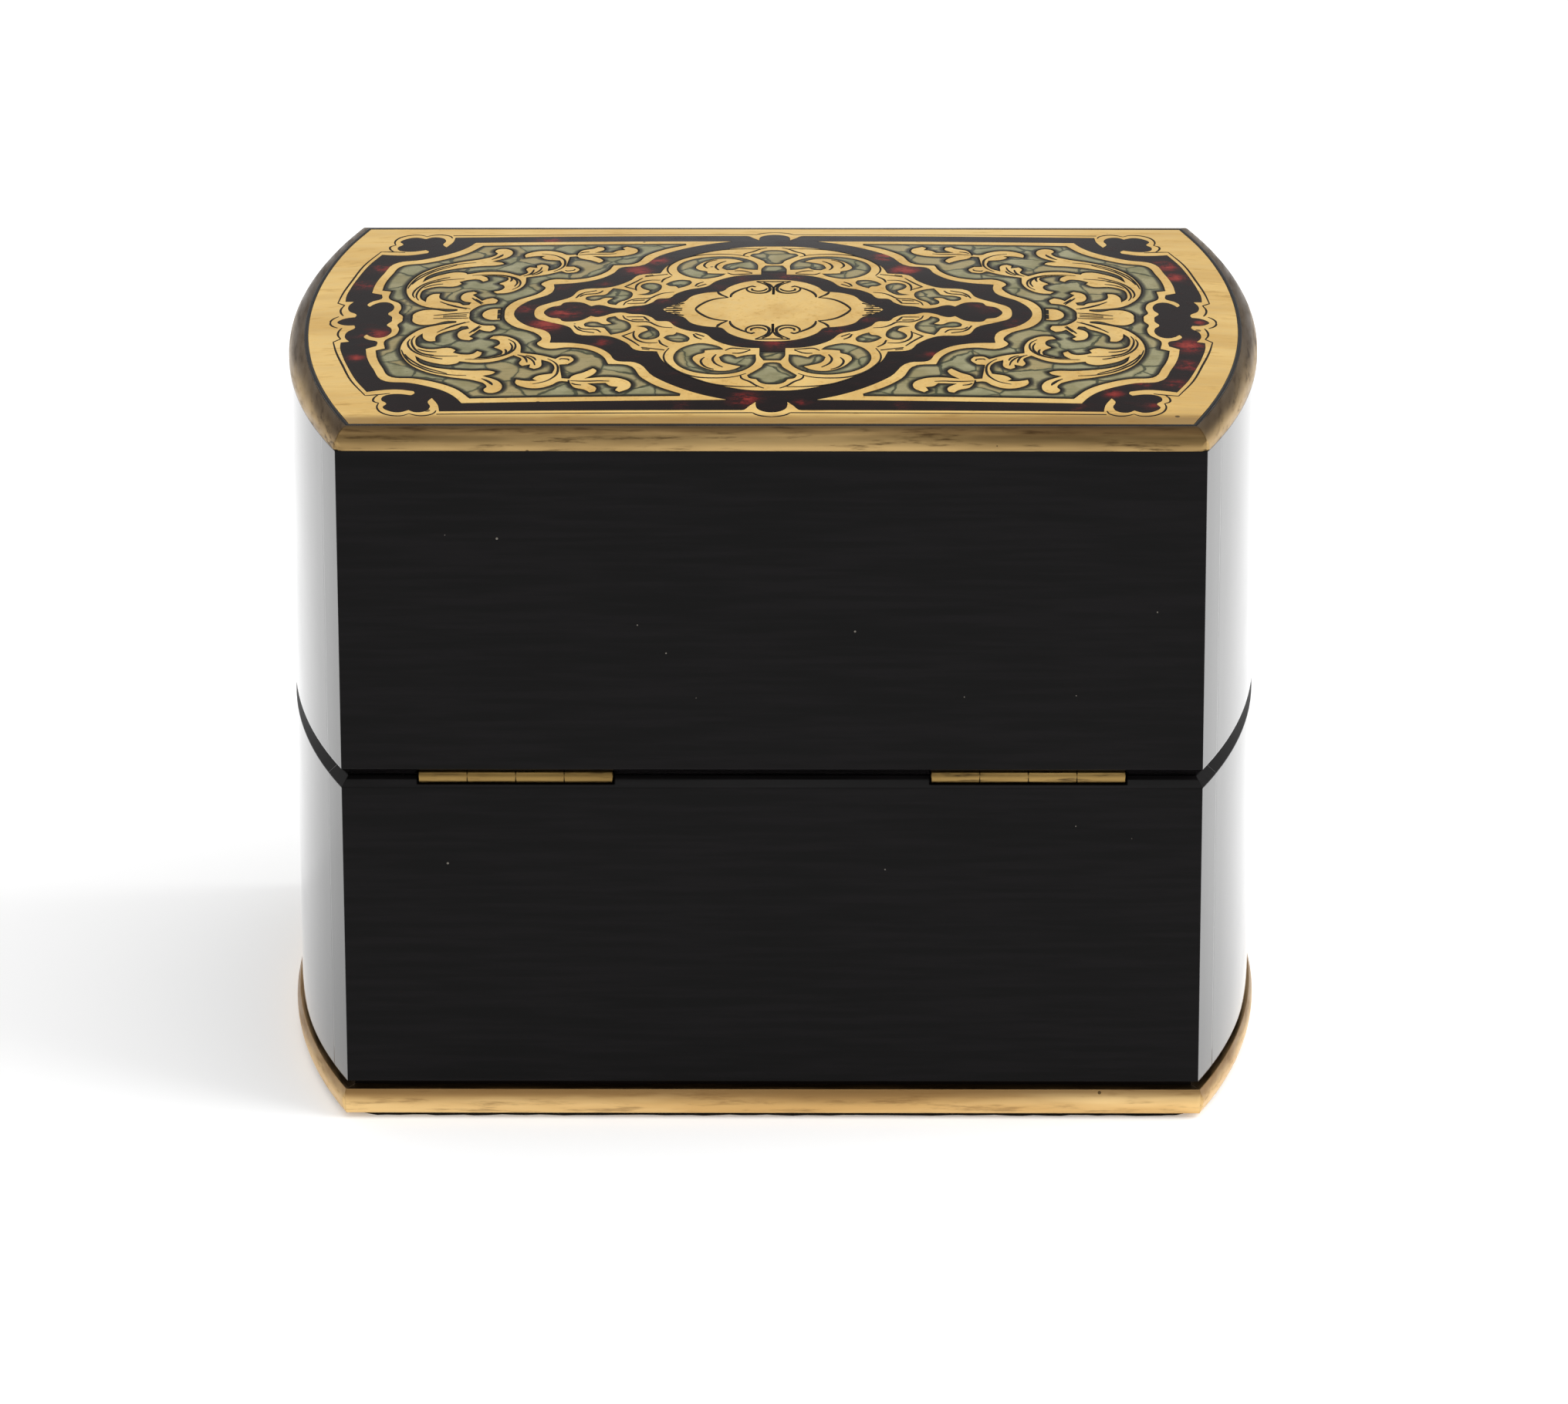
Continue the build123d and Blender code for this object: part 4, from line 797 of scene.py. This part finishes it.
def outer_and_holes(name, outers, holes, kerf, thickness):
    """A flat closed sheet between outlines, its edges drawn in by kerf mm."""
    curve = bpy.data.curves.new(name, "CURVE")
    curve.dimensions = "2D"
    curve.fill_mode = "BOTH"
    curve.resolution_u = OUTLINE_STEPS
    curve.extrude = thickness / 2 * MM
    curve.offset = -kerf * MM
    for outline in outers:
        draw_line(curve, outline, clockwise=True)
    for outline in holes:
        draw_line(curve, outline)
    piece = as_mesh(name, curve)
    bpy.ops.object.mode_set(mode="EDIT")
    bpy.ops.mesh.select_all(action="SELECT")
    bpy.ops.mesh.remove_doubles(threshold=JOINED)
    bpy.ops.mesh.normals_make_consistent(inside=False)
    bpy.ops.object.mode_set(mode="OBJECT")
    return piece


def laid_on_dome(piece, thickness, depth=0.0):
    """Bends a flat piece to the dome, with its upper face depth mm below the surface."""
    rows = placed_vertices(piece)
    rows[:, 2] += dome(rows[:, 0], rows[:, 1]) - thickness / 2 - depth
    set_vertices(piece, rows)
    smoothed(piece, SHEET_SHARP_FROM)


# %% Pieces of the top
BRASS_STEP, SHELL_STEP, HORN_STEP = 3.0, 1.0, 0.6


def dressed(piece, finish, body):
    """Gives a piece its finish and its body; mastic is no part's finish, so a mastic piece gets the black
    mastic.
    """
    piece.data.materials.clear()
    piece.data.materials.append(finishes.get(finish, black_mastic))
    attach(piece, body)
    return piece


def sawn(name, outers, holes, kerf, finish, step=BRASS_STEP, replaces=None, thickness=SHEET, depth=0.0):
    """One finished piece of marquetry on the lid."""
    piece = outer_and_holes(name, outers, holes, kerf, thickness)
    sliced(piece, step)
    laid_on_dome(piece, thickness, depth)
    dressed(piece, finish, "lid")
    if replaces:
        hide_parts(*replaces)
    return piece


def mirrored_copy(piece, name, finish, replaces):
    """The same piece at the other end of the lid, with its own mesh."""
    copy = bpy.data.objects.new(name, piece.data.copy())
    bpy.context.scene.collection.objects.link(copy)
    set_vertices(copy, placed_vertices(copy) * (-1, 1, 1))
    copy.data.flip_normals()
    dressed(copy, finish, "lid")
    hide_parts(*replaces)


# %% [markdown]
# ## The marquetry
# From outside in: a black string, the brass border, the shell frame, a brass fillet round each green ground
# with its brass foliage, and in the middle the brass field with horn leaves, the shell ring and the brass
# cartouche. Brass and shell meet with hardly a gap. The horn has shrunk, so a wide black joint runs round it.

# %% Plate edge
STRAIGHT_EDGE, ARC_CENTRE, ARC_RADIUS = 41.0, 36.56, 109.06


def bowed(radius, levels):
    """Points of a bowed end at these distances from the long axis."""
    return [((radius**2 - y**2) ** 0.5 - ARC_CENTRE, y) for y in levels]


def plate_outline(inset):
    """Straight front and back, ends bowed to one arc, in by inset from the plate's edge."""
    radius, edge = ARC_RADIUS - inset, STRAIGHT_EDGE - inset
    end = bowed(radius, [edge * share for share in (1, 0.8, 0.55, 0.28)])
    return four_ways([(0, edge)] + end + [(radius - ARC_CENTRE, 0)])


# %% [markdown]
# ## Red under the shell
# The ground under the shell is red in places, and each place was read off the picture: where its middle is,
# how wide it is, in mm, and how strong. The strongest patch decides the colour at each point of the sheet.

# %% Patches of red
RUBY_PATCHES = [
    (35.9, -34.8, 2.2, 0.6), (61.9, -22.8, 1.8, 0.8), (64.4, -15.8, 2.0, 0.8), (61.9, 6.2, 2.2, 0.8),
    (64.4, 15.2, 1.3, 0.9), (18.4, -22.8, 1.8, 0.8), (21.4, -17.8, 2.1, 0.9), (33.4, -10.8, 1.3, 0.5),
    (26.4, -11.8, 1.2, 0.4), (38.4, -1.8, 2.0, 0.6), (35.4, 5.2, 2.4, 1.0), (26.4, 12.7, 1.3, 0.6),
    (32.4, 0.2, 2.4, 1.0), (27.4, 0.2, 1.6, 0.6), (21.4, -0.3, 1.2, 0.5), (17.4, -3.8, 1.5, 0.5),
    (15.4, 5.2, 1.0, 0.4), (8.4, -9.8, 1.0, 0.5), (-17.6, -24.8, 1.9, 1.0), (-20.6, -18.3, 2.1, 1.0),
    (-61.6, -23.8, 2.0, 1.0), (-63.1, -18.8, 1.6, 0.9), (-32.6, -1.8, 2.0, 0.7), (-37.6, 4.2, 1.5, 0.5),
    (-14.6, 4.2, 1.2, 0.4), (-9.6, 8.7, 2.0, 0.7), (-24.6, 17.2, 1.5, 0.4), (-66.6, 0.2, 1.0, 0.8),
    (-64.6, 10.2, 2.3, 1.0), (-64.1, 18.2, 1.8, 0.9), (-62.1, 25.7, 1.8, 0.7), (-56.6, 26.2, 2.0, 0.6),
    (-52.6, 30.2, 1.6, 0.7), (-47.6, 35.2, 1.5, 0.6), (-58.6, 34.2, 1.4, 0.5), (4.4, 33.2, 2.0, 1.0),
    (-4.6, 34.2, 1.0, 0.6), (13.4, 35.2, 1.2, 0.5), (-19.6, 35.2, 1.0, 0.5), (-0.6, 13.7, 2.4, 0.5),
    (-2.6, -14.3, 2.0, 0.5), (5.4, -13.8, 1.5, 0.4),
]


def reddened(piece):
    """Keeps how red the ground shows through at each point as the attribute ruby."""
    rows = placed_vertices(piece)
    ruby = np.zeros(len(rows))
    for x, y, radius, strength in RUBY_PATCHES:
        gap = np.hypot(rows[:, 0] - x, rows[:, 1] - y) / radius
        ruby = np.maximum(ruby, strength * np.exp(-gap**2))
    piece.data.attributes.new("ruby", "FLOAT", "POINT").data.foreach_set("value", ruby.astype(np.float32))


# %% [markdown]
# ## Laying brass and shell
# A kerf is half the saw cut, taken off each edge. The leaves and the foliage are the finest work and were
# filed after sawing, so their edges are drawn in a little more. A black bed lies under all the sheets and
# shows in the cuts. The right half is drawn, and the left is its mirror image.

# %% Outlines of the middle
KERF, HORN_KERF, LEAF_KERF = 0.03, 0.27, 0.1
FIELD_FILED, FOLIAGE_FILED = 0.03, 0.04
ring_hole = four_ways([(0, 20.0), (1.3, 20.0), (1.9, 18.4)] + RING)
ring_loop = four_ways([(0, 16.8)] + RING)
leaf_loops = []
for quarter_loop in (BUD, COMMA, DROP, CRESCENT):
    leaf_loops += [quarter_loop, swapped(quarter_loop), upended(quarter_loop), swapped(upended(quarter_loop))]
bell_loops = [across(BELL), upended(across(BELL))]
stem_loops = [across(STEM + [(0, 16.8)]), upended(across(STEM + [(0, 16.8)]))]

panel, ground, foliage = two_ways(PANEL), two_ways(GROUND), [two_ways(ACANTHUS), two_ways(BOSS)]
print(len(leaf_loops), "leaves,", len(bell_loops), "bells and", len(stem_loops), "stems drawn")

# %% Lay the sheets
BED_STEP, BED_THICKNESS, BED_DEPTH = 6.0, 0.5, 0.05
BED_INSET, BORDER_INSET = 0.1, 0.05
sawn("mastic_bed", [plate_outline(BED_INSET)], [], 0, "mastic", BED_STEP, None, BED_THICKNESS, BED_DEPTH)
border = sawn("border_sheet", [plate_outline(BORDER_INSET)], [four_ways(FRAME)], KERF, "engraved_brass",
              replaces=["brass_border"])
border.data.materials[0] = border_brass
frame_shell = sawn("frame_shell", [four_ways(FRAME)], [panel, swapped(panel), four_ways(FIELD)], KERF,
                   "tortoiseshell", SHELL_STEP, ["shell_frame"])
sawn("field_sheet", [four_ways(FIELD)], [ring_hole] + leaf_loops + bell_loops, KERF + FIELD_FILED,
     "engraved_brass", replaces=["brass_field"])
ring_shell = sawn("ring_shell", [ring_loop], [four_ways(CARTOUCHE)], KERF, "tortoiseshell", SHELL_STEP,
                  ["shell_ring"])
for shell in (frame_shell, ring_shell):
    reddened(shell)
sawn("cartouche_sheet", [four_ways(CARTOUCHE)], [], KERF, "engraved_brass", replaces=["brass_cartouche"])
right_fillet = sawn("right_fillet", [panel], [ground], KERF, "engraved_brass",
                    replaces=["right_brass_fillet"])
mirrored_copy(right_fillet, "left_fillet", "engraved_brass", ["left_brass_fillet"])
right_foliage = sawn("right_foliage", foliage, [], KERF + FOLIAGE_FILED, "engraved_brass",
                     replaces=["right_brass_foliage"])
mirrored_copy(right_foliage, "left_foliage", "engraved_brass", ["left_brass_foliage"])
print("brass and shell laid")


# %% [markdown]
# ## Horn grounds with a stained edge
# The dark edge of the horn needs to know how far each point is from the saw cut. That is worked out once
# for every point of a finely sliced mesh and kept as an attribute that the horn material reads.

# %% Horn pieces
BLOCK = 2000
SIDE_WALL = 0.5


def edge_distances(piece):
    """Keeps each point's distance to the piece's outline, in mm, as the attribute to_edge."""
    rows = placed_vertices(piece)[:, :2]
    mesh = piece.data
    wall_points = set()
    for face in mesh.polygons:
        if abs(face.normal.z) < SIDE_WALL:
            wall_points.update(face.vertices)
    outline = np.unique(np.round(rows[sorted(wall_points)], 3), axis=0)
    nearest = np.empty(len(rows))
    for start in range(0, len(rows), BLOCK):
        block = rows[start:start + BLOCK]
        gaps = ((block[:, None, :] - outline[None, :, :]) ** 2).sum(2)
        nearest[start:start + BLOCK] = np.sqrt(gaps.min(1))
    mesh.attributes.new("to_edge", "FLOAT", "POINT").data.foreach_set("value", nearest.astype(np.float32))
    return len(rows)


right_ground = sawn("right_ground", [ground], foliage, HORN_KERF, "stained_horn", HORN_STEP,
                    ["right_horn_ground"])
print("points of one ground:", edge_distances(right_ground))
mirrored_copy(right_ground, "left_ground", "stained_horn", ["left_horn_ground"])
leaves = sawn("leaf_panes", leaf_loops + bell_loops + stem_loops, [], LEAF_KERF, "stained_horn", HORN_STEP,
              ["horn_leaves"])
print("points of the leaves:", edge_distances(leaves))


# %% [markdown]
# ## Engraving
# The brass was engraved after it was laid: a graver cuts a line that swells and tapers, and black wax is
# rubbed into it. Here each cut is a curve with a small round section whose radius follows the swelling,
# turned to a mesh, pressed nearly flat and laid just proud of the brass, so that it reads as a fine dark
# line. The lines of one quarter are given, and the other three are its mirror images.

# %% Lines of one quarter
BORDER_LINES = [
    [(0, 38.8), (1.2, 38.6), (2.3, 38.1), (2.9, 37.5)],
    [(2.9, 37.5), (51.2, 37.6)],
    [(51.3, 36.3), (51.6, 37.2), (52.5, 37.9), (53.6, 38.1), (54.6, 37.8), (55.4, 37.3)],
    [(55.4, 37.3), (56.4, 38.0), (57.8, 38.0), (59.2, 37.3), (60.2, 35.8), (60.4, 34.2), (60.2, 33.3)],
    [(60.2, 33.3), (61.0, 32.6), (61.0, 31.3), (60.4, 30.1)],
    [(58.6, 29.7), (60.6, 30.1), (62.4, 30.3)],
    [(62.4, 30.3), (64.8, 24.4), (66.4, 18.0), (67.7, 12.2), (68.3, 8.2)],
    [(68.3, 8.2), (67.2, 7.1)],
    [(67.2, 7.1), (67.7, 5.4), (67.5, 3.4), (67.2, 2.6)],
    [(67.9, 2.4), (68.6, 1.7), (69.1, 0.5), (69.1, 0)],
]
CARTOUCHE_LINES = [
    [(12.1, 0), (11.9, 0.7), (11.0, 2.4), (9.8, 3.8), (8.4, 4.6), (7.0, 4.9)],
    [(6.7, 5.0), (6.6, 6.0), (6.2, 7.1), (5.3, 8.3), (4.2, 9.3), (3.7, 9.6)],
    [(7.15, 5.0), (8.4, 6.5), (8.7, 7.4)],
    [(4.0, 9.6), (4.2, 8.5), (3.7, 7.4), (2.6, 6.8), (1.45, 6.95), (0.7, 7.8), (0.6, 9.3), (1.0, 10.4),
     (2.0, 11.5), (2.7, 12.1)],
    [(2.7, 12.2), (0, 12.1)],
    [(3.4, 8.9), (3.3, 8.1), (2.4, 7.7), (1.45, 8.1), (1.0, 8.9)],
    [(4.0, 9.6), (3.3, 10.0), (2.8, 9.6)],
    [(0, 6.2), (0, 9.5)],
    [(0.1, 9.4), (0.7, 10.8), (1.6, 11.8)],
    [(16.8, 0.4), (14.8, 0.4)],
    [(16.4, 1.2), (14.5, 1.5)],
    [(15.6, 0.8), (14.2, 0.3)],
    [(15.4, 1.9), (13.9, 2.6)],
]
FIELD_LINES = [
    [(23.4, 2.2), (23.0, 3.5), (21.7, 4.7), (19.2, 5.1), (18.4, 6.1), (17.3, 7.1), (15.6, 7.5)],
    [(22.8, 2.8), (20.1, 2.9), (19.5, 4.2), (19.2, 4.7)],
    [(22.0, 4.0), (20.1, 4.2)],
    [(30.9, 5.8), (30.1, 7.6), (29.5, 8.2)],
    [(30.3, 6.3), (29.8, 7.1), (27.3, 7.8), (26.7, 8.8)],
    [(29.5, 8.2), (27.7, 8.9)],
    [(21.5, 8.5), (21.6, 10.1), (21.3, 11.5), (20.6, 12.5), (19.5, 13.2), (17.8, 13.2)],
    [(21.5, 8.9), (23.3, 10.4), (22.0, 12.1), (20.6, 14.3)],
    [(20.3, 14.9), (16.7, 16.0)],
    [(20.2, 15.4), (19.0, 15.8)],
    [(17.6, 12.2), (17.3, 13.5), (16.2, 14.9)],
    [(16.0, 15.3), (16.7, 17.4), (16.6, 19.9), (15.8, 21.8), (14.2, 24.0), (11.7, 25.7), (9.0, 26.1),
     (5.6, 25.6), (4.0, 24.6)],
    [(15.3, 22.9), (11.7, 26.5), (9.0, 28.2), (5.6, 29.0), (2.3, 29.1)],
    [(4.9, 25.1), (4.65, 26.25), (3.4, 27.4), (2.3, 28.8), (1.2, 29.6)],
    [(10.5, 18.8), (11.0, 19.9), (10.9, 21.0), (10.1, 22.4), (9.0, 23.1)],
    [(8.7, 17.8), (9.2, 19.3), (8.8, 21.0), (7.6, 22.4)],
    [(7.3, 16.4), (6.45, 15.6), (5.1, 15.7), (3.4, 16.0)],
    [(6.2, 17.4), (5.1, 17.4), (3.4, 16.25)],
    [(12.3, 10.1), (11.9, 11.25), (11.0, 12.1)],
    [(12.0, 9.9), (10.6, 11.1)],
]
FOLIAGE_LINES = [
    [(55.6, 7.5), (56.0, 8.9), (56.0, 10.3), (55.7, 11.9), (55.0, 13.7), (53.8, 15.1), (52.2, 15.9),
     (50.5, 16.2), (48.7, 16.3)],
    [(56.3, 8.7), (56.6, 9.9), (56.5, 11.3), (56.0, 12.9), (55.2, 14.3), (54.2, 15.4), (53.0, 16.3),
     (51.6, 17.0)],
    [(57.5, 12.9), (57.2, 14.5), (56.6, 16.5), (55.7, 18.5), (54.4, 20.1), (52.8, 21.7), (51.0, 22.8),
     (49.1, 23.5), (47.1, 23.8)],
    [(56.9, 14.7), (56.4, 16.1), (55.4, 17.9), (54.2, 19.6), (52.6, 21.1), (51.0, 22.2), (50.1, 22.9)],
    [(44.7, 25.1), (43.7, 26.0), (43.1, 27.0), (43.0, 27.6)],
    [(44.4, 25.4), (43.6, 26.4), (43.2, 27.2)],
    [(47.3, 2.7), (48.7, 3.5), (50.1, 4.5), (51.4, 5.6), (52.2, 6.5)],
    [(47.9, 2.8), (49.5, 3.8), (51.0, 5.0)],
    [(47.5, 1.1), (50.0, 1.0), (53.0, 0.6)],
    [(47.8, 0.35), (51.5, 0.25)],
    [(45.6, 4.5), (46.3, 5.8), (46.9, 6.9), (47.2, 7.5)],
    [(45.4, 4.9), (46.1, 6.0), (46.6, 6.9)],
    [(55.0, 12.9), (54.0, 13.7), (52.8, 14.2), (52.0, 14.3)],
    [(55.1, 13.5), (54.2, 14.7), (52.4, 15.6)],
    [(53.0, 16.1), (52.0, 16.8), (51.0, 17.2)],
    [(41.0, 10.5), (40.1, 11.7), (39.8, 13.3), (40.1, 14.9), (41.1, 16.3), (42.5, 17.2), (44.3, 17.7),
     (46.1, 17.8), (47.5, 17.7)],
    [(40.7, 11.9), (40.3, 13.5), (40.6, 15.1), (41.7, 16.5), (43.3, 17.4)],
    [(41.4, 14.3), (41.2, 15.1), (41.3, 15.9)],
    [(42.85, 0.1), (42.85, 1.9)],
    [(42.65, 0.1), (42.65, 1.9)],
    [(39.4, 16.6), (38.7, 17.1), (38.2, 17.9), (37.95, 18.8), (37.85, 19.6)],
    [(38.85, 17.0), (38.1, 17.4), (37.4, 18.2), (36.9, 19.2), (36.6, 20.7)],
    [(38.1, 16.9), (37.3, 17.4), (36.8, 18.0), (36.5, 18.9)],
    [(34.7, 18.4), (34.0, 19.2), (33.5, 20.0), (33.1, 21.1), (33.0, 22.3), (33.05, 23.4), (33.3, 24.5),
     (33.8, 25.4), (34.4, 26.2), (35.8, 27.1), (36.8, 27.45)],
    [(32.9, 18.85), (32.6, 18.5), (32.0, 18.6), (31.5, 18.85), (31.4, 19.3)],
    [(31.0, 26.55), (29.4, 26.75), (28.0, 26.8), (26.4, 26.75), (25.0, 26.9)],
    [(31.25, 26.3), (31.25, 27.1)],
    [(30.8, 27.4), (30.3, 27.8), (29.3, 28.1)],
]

# %% Cut the lines
GRAVER_WIDTHS = {"border": 0.36, "cartouche": 0.54, "field": 0.42, "foliage": 0.4}
FLATTENED, PROUD = 0.08, 0.008
CUT_STEPS = 4
THIN_END = 0.35


def engraved(name, lines, width):
    """Engraved lines in all four quarters of the top, width mm at their middle."""
    curve = bpy.data.curves.new(name, "CURVE")
    curve.dimensions = "3D"
    curve.bevel_depth = width / 2 * MM
    curve.bevel_resolution = 0
    curve.resolution_u = CUT_STEPS
    for line in lines:
        swell = [THIN_END + (1 - THIN_END) * sin(pi * (i + 0.5) / len(line)) for i in range(len(line))]
        for copy in (line, upended(line), swapped(line), swapped(upended(line))):
            draw_line(curve, copy, closed=False, widths=swell)
    piece = as_mesh(name, curve)
    rows = placed_vertices(piece)
    rows[:, 2] = rows[:, 2] * FLATTENED + PROUD + dome(rows[:, 0], rows[:, 1])
    set_vertices(piece, rows)
    return dressed(piece, "mastic", "lid")


for name, lines in (("border", BORDER_LINES), ("cartouche", CARTOUCHE_LINES), ("field", FIELD_LINES),
                    ("foliage", FOLIAGE_LINES)):
    cuts = engraved(f"engraving_{name}", lines, GRAVER_WIDTHS[name])
    print(name, "engraving:", len(cuts.data.vertices), "points")


# %% [markdown]
# ## Cloth under the base
# A dark wool cloth is glued under the base so that the box doesn't mark a table. It was cut with shears
# just inside the brass foot and across its corners, so its edge wanders a little. It is set so close to the
# foot's edge, and is so dark, that its rim paints the contact shadow under the foot as a thin dark line. It
# is drawn as a filled curve, sliced, and its rim is moved in and out by a few waves.

# %% Outline of the cloth
# The inset is this small so that the cloth's dark rim shows under the foot as painted contact shadow.
CLOTH_INSET_FOR_CONTACT_SHADOW, CLOTH_CORNER_CUT = 0.35, 4.0
FOOT_HALF_DEPTH, FOOT_RADIUS, FOOT_CENTRE = 44.0, 112.06, ARC_CENTRE

cloth_edge = FOOT_HALF_DEPTH - CLOTH_INSET_FOR_CONTACT_SHADOW
cloth_radius = FOOT_RADIUS - CLOTH_INSET_FOR_CONTACT_SHADOW
cut_from = bowed(cloth_radius, [cloth_edge])[0][0] - CLOTH_CORNER_CUT
cloth_outline = four_ways([(0, cloth_edge), (cut_from, cloth_edge)]
                          + bowed(cloth_radius, (cloth_edge - CLOTH_CORNER_CUT, 30, 18, 8))
                          + [(cloth_radius - FOOT_CENTRE, 0)])

# %% Base cloth
CLOTH_STEP, CLOTH_SHARP_FROM = 2.0, 50
CUT_WANDERS, RIM_FROM, RIM_HALF_SPAN = 0.006, 0.95, 70
WAVES = ((0.35, 0.6), (0.9, 1.02), (2.1, 1.74))


def wandering(rows):
    """A smooth wandering from point to point, from -1 to 1 and the same each run."""
    return sum(np.sin(rows[:, :1] * f + rows[:, 1:2] * f * 0.8 + phase) for f, phase in WAVES) / len(WAVES)


cloth_low, cloth_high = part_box("base_felt")
cloth_thickness = (cloth_high.z - cloth_low.z) / MM
cloth = outer_and_holes("base_cloth_and_contact_shadow", [cloth_outline], [], 0, cloth_thickness)
sliced(cloth, CLOTH_STEP)
rows = placed_vertices(cloth)
reach = np.maximum(np.abs(rows[:, 1:2]) / cloth_edge, np.abs(rows[:, :1]) / RIM_HALF_SPAN)
rows[:, :2] *= 1 - CUT_WANDERS * (1 + wandering(rows)) * (reach > RIM_FROM)
rows[:, 2] += cloth_thickness / 2
set_vertices(cloth, rows)
smoothed(cloth, CLOTH_SHARP_FROM)
dressed(cloth, "dark_felt", "base")
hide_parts("base_felt")


# %% [markdown]
# ## Velvet pads
# The floor under the bottles and the inside of the lid are lined with velvet over a thin wadding, pulled
# round a card. Such a pad is nearly flat, with a soft roll at its edge and a faint quilting where the
# wadding gives. It is only 1.5 mm thick, too thin to inflate by simulation, so a fine grid is shaped by a
# formula instead. Its height is part flat, part roll and part quilting.

# %% Velvet pads
PAD_GRID = (110, 72)
ROLL, QUILT_PITCH = 2.2, 19
FLAT_SHARE, ROLL_SHARE, QUILT_SHARE = 0.3, 0.55, 0.15
PAD_SHARP_FROM = 60


def velvet_pad(name, node, body, faces):
    """A thin padded panel in the node's place, its soft side towards faces, 1 up or -1 down."""
    low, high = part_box(node)
    centre, size = (low + high) / 2, high - low
    bpy.ops.object.select_all(action="DESELECT")
    bpy.ops.mesh.primitive_grid_add(x_subdivisions=PAD_GRID[0], y_subdivisions=PAD_GRID[1], size=1,
                                    location=(0, 0, 0))
    piece = bpy.context.object
    piece.name = name
    set_vertices(piece, placed_vertices(piece) * (size.x, size.y, 1))
    bpy.ops.object.mode_set(mode="EDIT")
    bpy.ops.mesh.select_all(action="SELECT")
    bpy.ops.mesh.extrude_region_move(TRANSFORM_OT_translate={"value": (0, 0, size.z)})
    bpy.ops.mesh.select_all(action="SELECT")
    bpy.ops.mesh.normals_make_consistent(inside=False)
    bpy.ops.object.mode_set(mode="OBJECT")
    rows = placed_vertices(piece)
    half_x, half_y, thick = size.x / 2 / MM, size.y / 2 / MM, size.z / MM
    to_rim = np.minimum(half_x - np.abs(rows[:, 0]), half_y - np.abs(rows[:, 1]))
    roll = np.sqrt(np.clip(1 - (1 - np.clip(to_rim / ROLL, 0, 1)) ** 2, 0, 1))
    quilt = 0.5 + 0.25 * np.cos(rows[:, :2] * 2 * pi / QUILT_PITCH).sum(1)
    crown = (FLAT_SHARE + ROLL_SHARE * roll + QUILT_SHARE * quilt * roll) * thick
    free = rows[:, 2] > thick / 2
    rows[free, 2] = crown[free]
    rows[:, 2] *= faces
    back_level = (low.z if faces > 0 else high.z) / MM
    rows += (centre.x / MM, centre.y / MM, back_level)
    set_vertices(piece, rows)
    if faces < 0:
        piece.data.flip_normals()
    smoothed(piece, PAD_SHARP_FROM)
    dressed(piece, "crimson_velvet", body)
    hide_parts(node)
    print(name, "of", [round(v / MM, 1) for v in size], "mm")


velvet_pad("floor_velvet", "floor_pad", "base", 1)
velvet_pad("lid_velvet", "lid_lining", "lid", -1)
